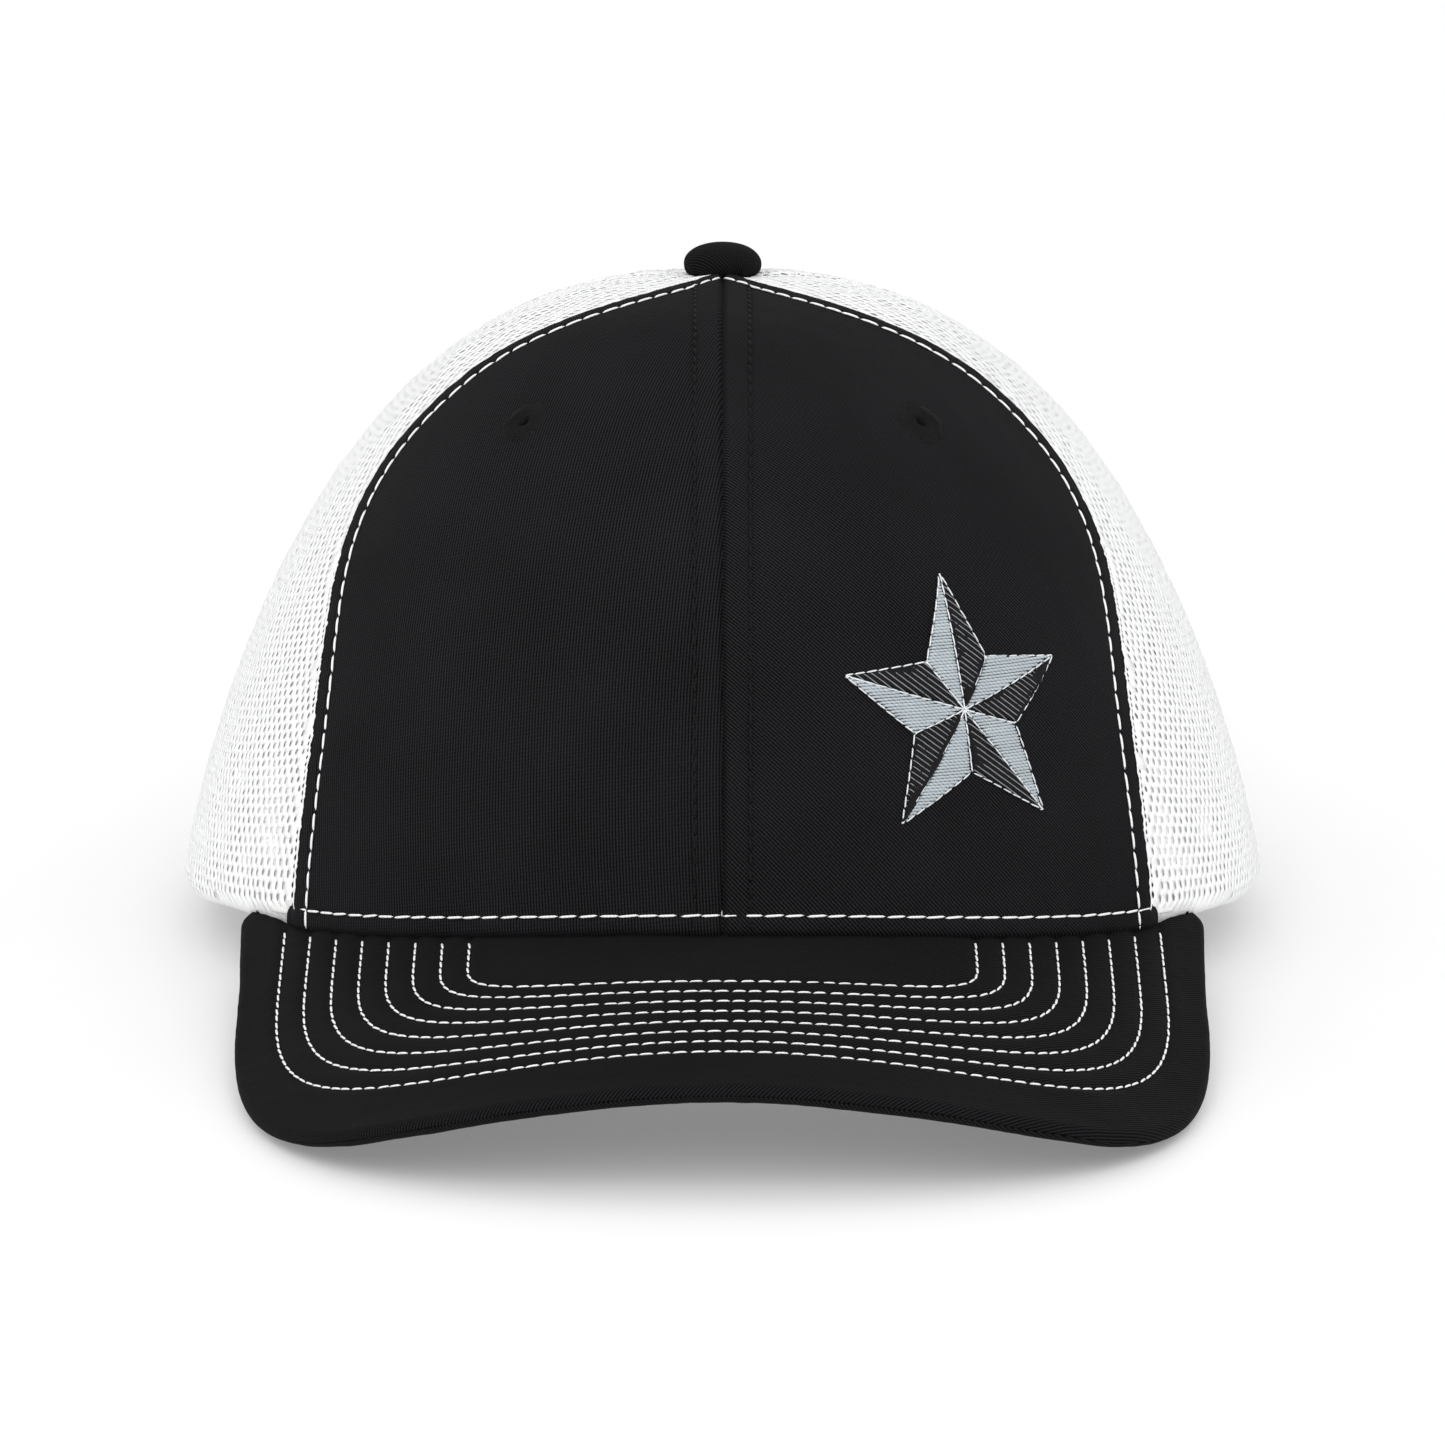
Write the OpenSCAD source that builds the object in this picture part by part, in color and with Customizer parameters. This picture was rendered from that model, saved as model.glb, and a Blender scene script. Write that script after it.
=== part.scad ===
// Six-panel trucker cap: stiffened twill front, mesh sides and back, curved visor and a snap closure.
// The crown is worked out in its own frame (base plane at z = 0, visor towards -Y) and then set down
// as the cap stands on a flat surface: on the two low corners of the visor and the back of the crown.
// Left and right are the wearer's: left is +X.

/* [Crown] */
// Half of the crown's width at its base
crown_half_w = 94.5; // [90:0.5:99]
// From the crown's middle to the front of its base
crown_front = 97; // [93:0.5:101]
// From the crown's middle to the back of its base
crown_back = 95; // [92:0.5:98]
// Height of the crown above its base
crown_h = 107; // [100:1:114]
// How far the top of the crown leans towards the front
crown_lean = 10; // [6:1:12]
// Thickness of the front twill
twill_t = 0.6; // [0.4:0.1:0.6]
// Thickness of the buckram behind the twill
buckram_t = 0.8; // [0.5:0.1:0.8]
// Thickness of the knit mesh
mesh_t = 0.9; // [0.6:0.1:0.9]

/* [Visor] */
// From the front seam to the visor's front edge, in plan
visor_len = 66; // [58:1:72]
// Half of the visor's width
visor_half_w = 81.4; // [79:0.2:83]
// Slope of the visor's middle line below the crown's base plane, in degrees
visor_slope = 9.6; // [7:0.2:13]
// Height of the middle of the front seam above the base plane
visor_rise = 8; // [6:0.5:9]
// Thickness of the visor's stiffening board
board_t = 1.6; // [1.2:0.1:2.2]
// Rows of stitching on the visor
visor_rows = 8; // [4:1:8]

/* [Closure] */
// Half of the rear opening's width at the base
opening_half_w = 43; // [41:0.5:45]
// Height of the rear opening
opening_h = 47; // [42:1:52]
// Height of the snap straps
strap_h = 18; // [16:0.5:19]
// Thickness of the snap straps
strap_t = 1.2; // [1:0.1:1.4]
// Radius of the snap pegs
peg_r = 2.1; // [1.6:0.1:2.2]
// Pegs on one strap and holes in the other
snap_count = 7; // [5:1:7]

/* [Trim] */
// Height of the sweatband
sweatband_h = 34; // [28:1:36]
// Width of the tapes over the inside seams
tape_w = 15; // [12:1:16]
// Width of the widest part of the button
button_d = 13.4; // [12:0.2:15]
// Outer radius of the sewn eyelets
eyelet_r = 3.9; // [3.2:0.1:4.2]
// Thickness of a sewing thread as it lies on the cloth
thread_d = 0.6; // [0.4:0.05:0.7]
// Length of the points of the star on the left front panel
star_r = 22; // [16:1:23]

/* [Hidden] */

// Shape of the crown's wall: higher is squarer
wall_front = 2.1;
wall_side = 1.31;
wall_back = 1.46;
roof_square = 2.7;

// Seams, as azimuths from the front in degrees
front_seam_base = 49.7;
front_seam_bulge = 11.9;
front_seam_bulge_at = 53;
front_seam_bulge_w = 19.4;
front_seam_turn = 31.9;
front_seam_turn_at = 64;
side_seam = 116;
top_angle = 89.6;
edge_gap = 0.15;

// Layers of the wall, inwards from its outer face
buckram_at = twill_t + 0.1;
tape_at = 1.8;
tape_t = 0.5;
sweatband_at = 2.75;
sweatband_t = 1.6;
sweatband_foot = 0.5;
sweatband_end = 146.5;

// Visor surface and outline
camber_seam = 0.0015;
camber_front = 0.0031;
camber_from = 45;
camber_over = 95;
camber_edge = 0.95e-7;
side_end = -21.5;
side_taper = 0.036;
side_reach = 28;
outline_x = 3.06;
outline_s = 3.12;
cover_t = 0.5;
layer_gap = 0.15;
board_inset = 1.2;
seam_allowance = 1.7;
seam_clear = 0.6;
foot_fade = 22;
visor_t = 2 * cover_t + board_t + 2 * layer_gap;

// Rows of stitching on the visor: innermost and outermost
row_in_w = 42;
row_out_w = 74;
row_in_s = 19.3;
row_out_s = 50;
row_in_end = 1;
row_out_end = -15.9;
row_in_x = 1.8;
row_out_x = 3.06;

// Closure
strap_z = 3.5;
strap_r = 91.3;
strap_cone = 0.15;
strap_gap = 0.15;
strap_root = 24;
strap_end = -13.4;
tab_end = 32;
hinge_gap = 0.9;
snap_pitch = 5.2;
hole_r = peg_r + 0.5;
peg_l = strap_t + strap_gap + 0.8;

// Stitching on the crown, from the seam or the lower edge
edge_stitch = 2.4;
base_stitch = 3;
base_stitch_end = 3.5;
centre_stitch = 4.6;
thread_lift = 0.1;

// Eyelets and star, as azimuth and angle up the wall
eyelet_phi = 33.7;
eyelet_u = 57.2;
eyelet_hole_r = 1;
star_phi = 27;
star_z = 43.5;
star_turn = 90;
star_points = 5;
star_waist = 0.46;
star_gap = 0.12;
star_t = 0.7;

function clamp(v, low, high) = min(max(v, low), high);
function mix(a, b, t) = a + (b - a) * t;
function ease(t) = let (c = clamp(t, 0, 1)) c * c * (3 - 2 * c);
function unit(v) = v / norm(v);
function flat(rows) = [for (row = rows) each row];
function degrees(radians) = radians * 180 / PI;
function signed_pow(v, p) = sign(v) * pow(abs(v), p);

// ---- Crown surface: phi goes round from the front, u goes up from 0 at the base plane to 90 ----

function wall_power(phi) =
    wall_side
    + (wall_front - wall_side) * pow(max(cos(phi), 0), 2)
    + (wall_back - wall_side) * pow(max(-cos(phi), 0), 2);

function share(u) = pow(max(cos(u), 0), 2 / roof_square);

function crown_face(phi, u) =
    let (
        level = pow(sin(max(u, 0)), 2 / wall_power(phi)),
        depth = cos(phi) > 0 ? crown_front : crown_back
    )
    [crown_half_w * share(u) * sin(phi),
        -depth * share(u) * cos(phi) - crown_lean * level * level,
        crown_h * level];

function crown_normal(phi, u) =
    let (top = min(u, 88.5))
    unit(cross(crown_face(phi + 0.5, top) - crown_face(phi - 0.5, top),
        crown_face(phi, top + 1) - crown_face(phi, top)));

function crown(phi, u, proud) = crown_face(phi, u) + proud * crown_normal(phi, u);

// Angle up the wall at height z
function angle_at(phi, z) = asin(clamp(pow(max(z, 0) / crown_h, wall_power(phi) / 2), 0, 1));

// Azimuth of the front seam at angle u
function front_seam(u) =
    front_seam_base
    + front_seam_bulge * exp(-pow((u - front_seam_bulge_at) / front_seam_bulge_w, 2))
    - front_seam_turn * pow(clamp((u - front_seam_turn_at) / (90 - front_seam_turn_at), 0, 1), 2);

// A length along the wall at angle u, as degrees of azimuth
function sweep_angle(length_mm, u) = degrees(length_mm / (crown_half_w * max(share(u), 0.02)));

// Azimuth at the back where the wall is x from the middle at height z
function back_azimuth(x, z, steps = 5, phi = 160) =
    steps == 0 ? phi
    : back_azimuth(x, z, steps - 1,
        180 - asin(clamp(x / (crown_half_w * share(angle_at(phi, z))), -1, 1)));

// ---- Visor surface: x across, s forward from the middle of the front seam ----

function visor_face(x, s) =
    let (camber = mix(camber_seam, camber_front, clamp((s + camber_from) / camber_over, 0, 1)))
    visor_rise - s * tan(visor_slope) - camber * x * x - camber_edge * pow(x, 4);

function visor_at(x, s, below = 0) = [x, -crown_front - s, visor_face(x, s) - below];

function visor_normal(x, s) =
    unit(cross(visor_at(x + 0.5, s) - visor_at(x - 0.5, s), visor_at(x, s - 0.5) - visor_at(x, s + 0.5)));

// How far forward the foot of the crown is at x, which is negative
function seam_s(x) = -crown_front * (1 - sqrt(1 - pow(x / crown_half_w, 2)));

visor_end_x = visor_half_w + side_taper * side_reach;
visor_end_phi = asin(visor_end_x / crown_half_w);

// Height of the crown's lower edge: on the visor in front, and on the base plane behind it
function foot_on_visor(phi) =
    let (x = crown_half_w * sin(phi)) visor_face(x, seam_s(x)) + seam_clear;
function foot(phi) =
    let (away = abs(phi) - visor_end_phi)
    away < 0 ? foot_on_visor(phi) : foot_on_visor(visor_end_phi) * (1 - ease(away / foot_fade));

// Even steps along a superellipse's quarter
function quarter_step(t) =
    let (a = pow(t, 1.5), b = pow(1 - t, 1.5)) 90 * a / (a + b);
function half_step(t) = t < 0.5 ? quarter_step(2 * t) : 180 - quarter_step(2 - 2 * t);

// Point of a rounded U: t from 0 at its left side to 1 at its right side
function rounded_u(half_w, end_s, front_s, power_x, t) =
    [half_w * signed_pow(cos(half_step(t)), 2 / power_x),
        end_s + (front_s - end_s) * pow(sin(half_step(t)), 2 / outline_s)];

// ---- Solids made of points ----

function quad(a, b, c, d) = [[a, b, c], [a, c, d]];

// A closed skin between two grids of points of the same size
module shell(outer, inner) {
    rows = len(outer);
    cols = len(outer[0]);
    n = rows * cols;
    polyhedron(
        points = concat(flat(outer), flat(inner)),
        faces = concat(
            [for (i = [0:rows - 2], j = [0:cols - 2])
                each quad(i * cols + j, i * cols + j + 1, (i + 1) * cols + j + 1, (i + 1) * cols + j)],
            [for (i = [0:rows - 2], j = [0:cols - 2])
                each quad(n + i * cols + j, n + (i + 1) * cols + j,
                    n + (i + 1) * cols + j + 1, n + i * cols + j + 1)],
            [for (i = [0:rows - 2])
                each quad(i * cols, (i + 1) * cols, n + (i + 1) * cols, n + i * cols)],
            [for (i = [0:rows - 2])
                each quad(n + i * cols + cols - 1, n + (i + 1) * cols + cols - 1,
                    (i + 1) * cols + cols - 1, i * cols + cols - 1)],
            [for (j = [0:cols - 2]) each quad(n + j, n + j + 1, j + 1, j)],
            [for (j = [0:cols - 2])
                each quad((rows - 1) * cols + j, (rows - 1) * cols + j + 1,
                    n + (rows - 1) * cols + j + 1, n + (rows - 1) * cols + j)]
        ),
        convexity = 8
    );
}

// A closed bar: each ring is a list of points
module bar(rings) {
    count = len(rings);
    sides = len(rings[0]);
    polyhedron(
        points = flat(rings),
        faces = concat(
            [for (i = [0:count - 2], k = [0:sides - 1])
                each quad(i * sides + k, i * sides + (k + 1) % sides,
                    (i + 1) * sides + (k + 1) % sides, (i + 1) * sides + k)],
            [[for (k = [sides - 1:-1:0]) k]],
            [[for (k = [0:sides - 1]) (count - 1) * sides + k]]
        ),
        convexity = 8
    );
}

// A sewing thread that lies on a surface, along points with the surface's normals
module thread(points, normals) {
    last = len(points) - 1;
    bar([for (i = [0:last])
        let (
            along = unit(points[min(i + 1, last)] - points[max(i - 1, 0)]),
            side = unit(cross(along, normals[i])) * thread_d / 2,
            low = points[i] + normals[i] * thread_lift,
            mid = low + normals[i] * thread_d / 2
        )
        [low, mid + side, low + normals[i] * thread_d, mid - side]]);
}

// A layer of the wall over a grid of azimuths and angles
module wall_layer(cells, at, thick) {
    shell([for (row = cells) [for (c = row) crown(c[0], c[1], -at)]],
        [for (row = cells) [for (c = row) crown(c[0], c[1], -at - thick)]]);
}

// ---- Crown panels ----

panel_rows = 14;

// Angles up the wall from the lower edge at azimuth phi to the top
function rise(phi) =
    let (start = angle_at(phi, foot(phi)))
    [for (k = [0:panel_rows]) mix(start, top_angle, k / panel_rows)];

// Shares of the front panel's width and height at its grid lines: the buckram stops one line short
front_across = concat([for (j = [0:8]) 0.96 * j / 8], [1]);
front_up = concat([0], [for (k = [0:panel_rows - 2]) mix(0.015, 0.965, k / (panel_rows - 2))], [1]);

function front_cells(short) =
    [for (j = [0:len(front_across) - 1 - short])
        let (
            share_x = front_across[j],
            azimuth = front_seam_base * share_x,
            start = angle_at(azimuth, foot(azimuth))
        )
        [for (k = [short:len(front_up) - 1 - short])
            let (u = mix(start, top_angle, front_up[k]), gap = sweep_angle(edge_gap, u))
            [mix(gap, front_seam(u) - gap, share_x), u]]];

function side_cells() =
    let (cols = 9)
    [for (j = [0:cols])
        let (angles = rise(mix(front_seam_base, side_seam, j / cols)))
        [for (u = angles)
            let (gap = sweep_angle(edge_gap, u))
            [mix(front_seam(u) + gap, side_seam - gap, j / cols), u]]];

// The back panel is cut away over the rear opening
function rear_cells() =
    let (
        plain = 5,
        arch = 8,
        arch_phi = back_azimuth(opening_half_w, 0),
        corners = concat(
            [for (j = [0:plain - 1]) [mix(side_seam, arch_phi, j / plain), 0]],
            [for (j = [0:arch])
                let (z = opening_h * sin(90 * j / arch), x = opening_half_w * cos(90 * j / arch))
                [back_azimuth(x, z), z]]
        )
    )
    [for (j = [0:len(corners) - 1])
        let (
            phi = corners[j][0],
            start = angle_at(phi, max(corners[j][1], foot(phi)))
        )
        [for (k = [0:panel_rows])
            let (u = mix(start, top_angle, k / panel_rows))
            [j == 0 ? phi + sweep_angle(edge_gap, u)
                : (j == len(corners) - 1 ? phi - sweep_angle(edge_gap, u) : phi), u]]];

module front_panel() {
    color("#202022")
        difference() {
            wall_layer(front_cells(0), 0, twill_t);
            eyelet_bore();
        }
}

module buckram() {
    color("#d8d6d0")
        difference() {
            wall_layer(front_cells(1), buckram_at, buckram_t);
            eyelet_bore();
        }
}

module side_mesh() {
    color("#f4f4f4") wall_layer(side_cells(), 0, mesh_t);
}

module rear_mesh() {
    color("#f4f4f4") wall_layer(rear_cells(), 0, mesh_t);
}

// ---- Inside: seam tapes and sweatband ----

module seam_tape(from_u, to_u, seam) {
    steps = 14;
    cells = [for (side = [-1, 1])
        [for (k = [0:steps])
            let (u = mix(from_u, to_u, k / steps))
            [seam(u) + side * sweep_angle(tape_w / 2, u), u]]];
    color("#f2f2f0") wall_layer(cells, tape_at, tape_t);
}

module sweatband() {
    cols = 56;
    rows = 3;
    cells = [for (j = [0:cols])
        let (phi = mix(-sweatband_end, sweatband_end, j / cols))
        [for (k = [0:rows])
            [phi, angle_at(phi, foot(phi) + sweatband_foot + sweatband_h * k / rows)]]];
    color("#fafafa") wall_layer(cells, sweatband_at, sweatband_t);
}

// ---- Rear opening ----

// Point w outside the edge of the rear opening, at turn s from its left foot to its right foot
function arch_point(s, w, proud) =
    let (
        x = (opening_half_w + w) * cos(s),
        z = max((opening_h + w) * sin(s), 0.2),
        phi = back_azimuth(x, z)
    )
    crown(phi, angle_at(phi, z), proud);

module rear_binding() {
    steps = 32;
    leg = 8;
    cloth = 0.4;
    gap = 0.4;
    outside = gap + cloth;
    inside = -mesh_t - gap;
    profile = [[-gap - cloth, outside], [leg, outside], [leg, gap], [-gap, gap],
        [-gap, inside], [leg, inside], [leg, inside - cloth], [-gap - cloth, inside - cloth]];
    color("#ececec")
        bar([for (i = [0:steps]) [for (p = profile) arch_point(180 * i / steps, p[0], p[1])]]);
}

// A stretch of strap between two angles from the middle of the back
module strap_band(from_a, to_a, inward) {
    rotate([0, 0, 90 - to_a])
        rotate_extrude(angle = to_a - from_a, $fn = 180)
            polygon([[strap_r - inward - strap_t, strap_z], [strap_r - inward, strap_z],
                [strap_r - inward - strap_cone * strap_h, strap_z + strap_h],
                [strap_r - inward - strap_t - strap_cone * strap_h, strap_z + strap_h]]);
}

// What is placed on the strap's outer face, at an angle from the middle of the back
module on_strap(a, inward) {
    rotate([0, 0, 90 - a])
        translate([strap_r - inward - strap_cone * strap_h / 2, 0, strap_z + strap_h / 2])
            rotate([0, 90 - atan(strap_cone), 0])
                children();
}

// Angle of the edge of the strap or its tab that is length_mm from the hinge
function from_hinge(length_mm) = strap_root - degrees(length_mm / strap_r);

module hole_strap() {
    color("#f6f6f6")
        difference() {
            strap_band(strap_end, from_hinge(0.3), 0);
            for (k = [0:snap_count - 1])
                on_strap((k - 2) * snap_pitch, 0)
                    cylinder(r = hole_r, h = 4 * strap_t, center = true, $fn = 48);
        }
}

module peg_strap() {
    inward = strap_t + strap_gap;
    color("#f6f6f6")
        mirror([1, 0, 0])
            union() {
                strap_band(strap_end, from_hinge(0.3), inward);
                for (k = [0:snap_count - 1])
                    on_strap((k - 2) * snap_pitch, inward)
                        translate([0, 0, -strap_t / 2])
                            cylinder(r = peg_r, h = strap_t / 2 + peg_l, $fn = 48);
            }
}

module strap_tab(inward) {
    color("#f6f6f6") strap_band(from_hinge(-hinge_gap), tab_end, inward);
}

// ---- Button on the top ----

button_r = button_d / 2;
button_h = 6.2;
button_widest = 2.6;
neck_r = 4.9;
shank_r = 1.2;

// Half of the button's section, shrunk by inset
function button_profile(inset) =
    concat(
        [for (k = [0:6])
            let (a = mix(-65, 0, k / 6))
            [mix(neck_r, button_r, pow(cos(a), 0.8)) - inset, button_widest * (1 + sin(a))]],
        [for (k = [1:9])
            let (a = 90 * k / 9)
            [(button_r - inset) * cos(a), button_widest + (button_h - button_widest - inset) * sin(a)]]
    );

module button_shell(outer, inner, lift) {
    rotate_extrude($fn = 64)
        difference() {
            polygon(concat([[0, lift]], [for (p = button_profile(outer)) [p[0], max(p[1], lift)]]));
            polygon(concat([[0, -1]], [[neck_r - inner, -1]],
                [for (p = button_profile(inner)) [p[0], p[1]]]));
        }
}

module on_top() {
    translate([0, -crown_lean, crown_h]) children();
}

module button_cover() {
    color("#1d1d1f") on_top() button_shell(0, 0.6, 0.35);
}

module button_core() {
    color("#b8bcc0") on_top() button_shell(0.65, 1.15, 0.6);
}

module button_rivet() {
    color("#a8acb0")
        on_top()
            union() {
                translate([0, 0, -3]) cylinder(r = shank_r, h = button_h + 1.6, $fn = 32);
                translate([0, 0, -3.4]) cylinder(r = 2 * shank_r, h = 0.7, $fn = 32);
            }
}

module button_back() {
    color("#b8bcc0")
        on_top()
            translate([0, 0, -2.6])
                difference() {
                    cylinder(r = 8, h = 0.8, $fn = 64);
                    cylinder(r = shank_r + 0.1, h = 4, center = true, $fn = 32);
                }
}

// ---- Visor ----

// One layer of the visor, inset from its outline, between two depths below its top face
module visor_layer(inset, top, thick) {
    cols = 34;
    rows = 6;
    plan = [for (i = [0:cols])
        let (
            phi = visor_end_phi * (1 - 2 * i / cols) * (1 - inset / visor_half_w),
            inner = [(crown_half_w - seam_allowance) * sin(phi),
                -crown_front + (crown_front - seam_allowance) * cos(phi)],
            outer = rounded_u(visor_half_w - inset, side_end, visor_len - inset, outline_x, i / cols)
        )
        [for (k = [0:rows]) mix(inner, outer, k / rows)]];
    shell([for (row = plan) [for (p = row) visor_at(p[0], p[1], top)]],
        [for (row = plan) [for (p = row) visor_at(p[0], p[1], top + thick)]]);
}

module visor_top_cover() {
    color("#202022") visor_layer(0, 0, cover_t);
}

module visor_board() {
    color("#e8e6e0") visor_layer(board_inset, cover_t + layer_gap, board_t);
}

module visor_under_cover() {
    color("#242426") visor_layer(0, cover_t + board_t + 2 * layer_gap, cover_t);
}

// Row f of the visor stitching, from 0 for the innermost to 1 for the outermost
function row_plan(f) =
    let (
        half_w = mix(row_in_w, row_out_w, f),
        end_s = mix(row_in_end, row_out_end, f),
        front_s = mix(row_in_s, row_out_s, f),
        power = mix(row_in_x, row_out_x, f),
        start_s = seam_s(half_w) + 1,
        curve = [for (k = [0:36]) rounded_u(half_w, end_s, front_s, power, k / 36)]
    )
    concat([for (k = [0:2]) [half_w, mix(start_s, end_s, k / 3)]], curve,
        [for (k = [2:-1:0]) [-half_w, mix(start_s, end_s, k / 3)]]);

module visor_stitching() {
    color("#f4f4f4")
        for (r = [0:visor_rows - 1]) {
            plan = row_plan(r / (visor_rows - 1));
            thread([for (p = plan) visor_at(p[0], p[1])], [for (p = plan) visor_normal(p[0], p[1])]);
        }
}

// ---- Stitching on the crown ----

// A thread on the wall through azimuths and angles
module wall_thread(cells) {
    thread([for (c = cells) crown_face(c[0], c[1])], [for (c = cells) crown_normal(c[0], c[1])]);
}

module panel_edge_stitching() {
    color("#f4f4f4")
        for (side = [0, 1])
            mirror([side, 0, 0])
                wall_thread([for (k = [0:26])
                    let (u = mix(angle_at(front_seam_base, foot(front_seam_base) + 0.5), 85, k / 26))
                    [front_seam(u) - sweep_angle(edge_stitch, u), u]]);
}

module base_stitching() {
    reach = front_seam_base - base_stitch_end;
    color("#f4f4f4")
        wall_thread([for (k = [0:32])
            let (phi = mix(-reach, reach, k / 32))
            [phi, angle_at(phi, foot(phi) + base_stitch)]]);
}

module centre_seam_stitching() {
    color("#161618")
        for (side = [-1, 1])
            wall_thread([for (k = [0:26])
                let (u = mix(angle_at(0, foot(0) + 1.5 * base_stitch), 84, k / 26))
                [side * sweep_angle(centre_stitch, u), u]]);
}

// ---- Eyelets ----

module on_wall(phi, u, proud) {
    n = crown_normal(phi, u);
    translate(crown(phi, u, proud))
        rotate([0, acos(n[2]), atan2(n[1], n[0])])
            children();
}

module eyelet_bore() {
    on_wall(eyelet_phi, eyelet_u, 0)
        cylinder(r = eyelet_hole_r, h = 8, center = true, $fn = 24);
}

module eyelet() {
    color("#18181a")
        on_wall(eyelet_phi, eyelet_u, 0.2)
            rotate_extrude($fn = 48)
                polygon([[eyelet_hole_r, 0], [eyelet_r, 0], [eyelet_r - 0.1, 0.25],
                    [mix(eyelet_hole_r, eyelet_r, 0.5), 0.55], [eyelet_hole_r + 0.1, 0.35]]);
}

// ---- Star on the left front panel ----

// Point of the star: across and up along the wall from its middle
function star_point(p, proud) =
    let (
        phi = star_phi + sweep_angle(p[0], angle_at(star_phi, star_z)),
        u = angle_at(phi, star_z + p[1])
    )
    crown(phi, u, proud);

// A three-cornered patch that follows the wall
module patch(a, b, c) {
    n = 4;
    low = thread_lift;
    places = [for (i = [0:n], j = [0:i]) a + (b - a) * (i - j) / n + (c - a) * j / n];
    count = len(places);
    at = function(i, j) i * (i + 1) / 2 + j;
    up = [for (i = [0:n - 1], j = [0:i]) [at(i, j), at(i + 1, j), at(i + 1, j + 1)]];
    down = [for (i = [1:n - 1], j = [0:i - 1]) [at(i, j), at(i + 1, j + 1), at(i, j + 1)]];
    rim = concat([for (i = [0:n]) at(i, 0)], [for (j = [1:n]) at(n, j)],
        [for (i = [n - 1:-1:1]) at(i, i)]);
    skin = concat(up, down);
    polyhedron(
        points = concat(
            [for (p = places) star_point(p, low + star_t)],
            [for (p = places) star_point(p, low)]
        ),
        faces = concat(
            skin,
            [for (f = skin) [f[2] + count, f[1] + count, f[0] + count]],
            [for (k = [0:len(rim) - 1])
                let (p = rim[k], q = rim[(k + 1) % len(rim)])
                each quad(p, p + count, q + count, q)]
        ),
        convexity = 4
    );
}

function polar(r, a) = [r * cos(a), r * sin(a)];

// One half of every point of the star: side 1 is the half that comes first going round, -1 the other
module star_half(side) {
    half = 180 / star_points;
    for (k = [0:star_points - 1]) {
        a = star_turn + 2 * half * k;
        aside = polar(star_gap, a + side * 90);
        inwards = polar(star_gap, a + side * (half - 90));
        tip = polar(star_r, a) + aside;
        waist = polar(star_waist * star_r, a + side * half) + inwards;
        centre = polar(star_gap / sin(half / 2), a + side * half / 2);
        if (side > 0)
            patch(centre, waist, tip);
        else
            patch(centre, tip, waist);
    }
}

module star_light() {
    color("#aeb8bc") star_half(1);
}

module star_dark() {
    color("#222224") star_half(-1);
}

// ---- Stance: nose up until the visor's corners and the back of the crown are level ----

back_foot_y = crown_back * sqrt(1 - pow(opening_half_w / crown_half_w, 2));
nose_up = max([for (k = [0:60])
    let (
        p = rounded_u(visor_half_w, side_end, visor_len, outline_x, k / 120),
        low = visor_at(p[0], p[1], visor_t)
    )
    atan(-low[2] / (back_foot_y - low[1]))]);
lift = back_foot_y * sin(nose_up);
front_y = visor_at(0, visor_len)[1] * cos(nose_up) + visor_at(0, visor_len)[2] * sin(nose_up);
back_y = strap_r * cos(nose_up) + strap_z * sin(nose_up);

module stand() {
    translate([0, -(front_y + back_y) / 2, lift])
        rotate([-nose_up, 0, 0])
            children();
}

module right() {
    mirror([1, 0, 0]) children();
}

stand() front_panel();  // front_panel_left
stand() right() front_panel();  // front_panel_right
stand() buckram();  // buckram_left
stand() right() buckram();  // buckram_right
stand() side_mesh();  // side_mesh_left
stand() right() side_mesh();  // side_mesh_right
stand() rear_mesh();  // rear_mesh_left
stand() right() rear_mesh();  // rear_mesh_right
stand() seam_tape(angle_at(0, foot(0) + 2), 86, function(u) 0);  // seam_tape_front_centre
stand() seam_tape(angle_at(50, foot(50) + 2), 79, function(u) front_seam(u));  // seam_tape_front_left
stand() right() seam_tape(angle_at(50, foot(50) + 2), 79, function(u) front_seam(u));  // seam_tape_front_right
stand() seam_tape(angle_at(side_seam, 2), 83.5, function(u) side_seam);  // seam_tape_rear_left
stand() right() seam_tape(angle_at(side_seam, 2), 83.5, function(u) side_seam);  // seam_tape_rear_right
stand() seam_tape(angle_at(180, opening_h + 9), 83.5, function(u) 180);  // seam_tape_rear_centre
stand() button_cover();
stand() button_core();
stand() button_rivet();
stand() button_back();
stand() visor_top_cover();
stand() visor_board();
stand() visor_under_cover();
stand() visor_stitching();
stand() sweatband();
stand() rear_binding();
stand() hole_strap();
stand() peg_strap();
stand() strap_tab(0);  // hole_strap_tab
stand() right() strap_tab(strap_t + strap_gap);  // peg_strap_tab
stand() eyelet();  // eyelet_left
stand() right() eyelet();  // eyelet_right
stand() star_light();
stand() star_dark();
stand() panel_edge_stitching();
stand() base_stitching();
stand() centre_seam_stitching();
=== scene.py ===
"""The looks of a trucker cap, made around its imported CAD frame.

Shapes are worked out in the crown's own frame, in millimetres: the crown's base plane is z = 0, the
visor points to -Y and +X is the wearer's left. stand() then takes them to the frame, where the cap
rests on its visor's corners and the back of its crown. A place on the crown's wall is an azimuth phi,
from the front, and an angle u, from 0 at the base plane to 90 at the top, both in degrees.
"""
import math

import bpy
import numpy as np
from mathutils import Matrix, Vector, geometry


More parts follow.
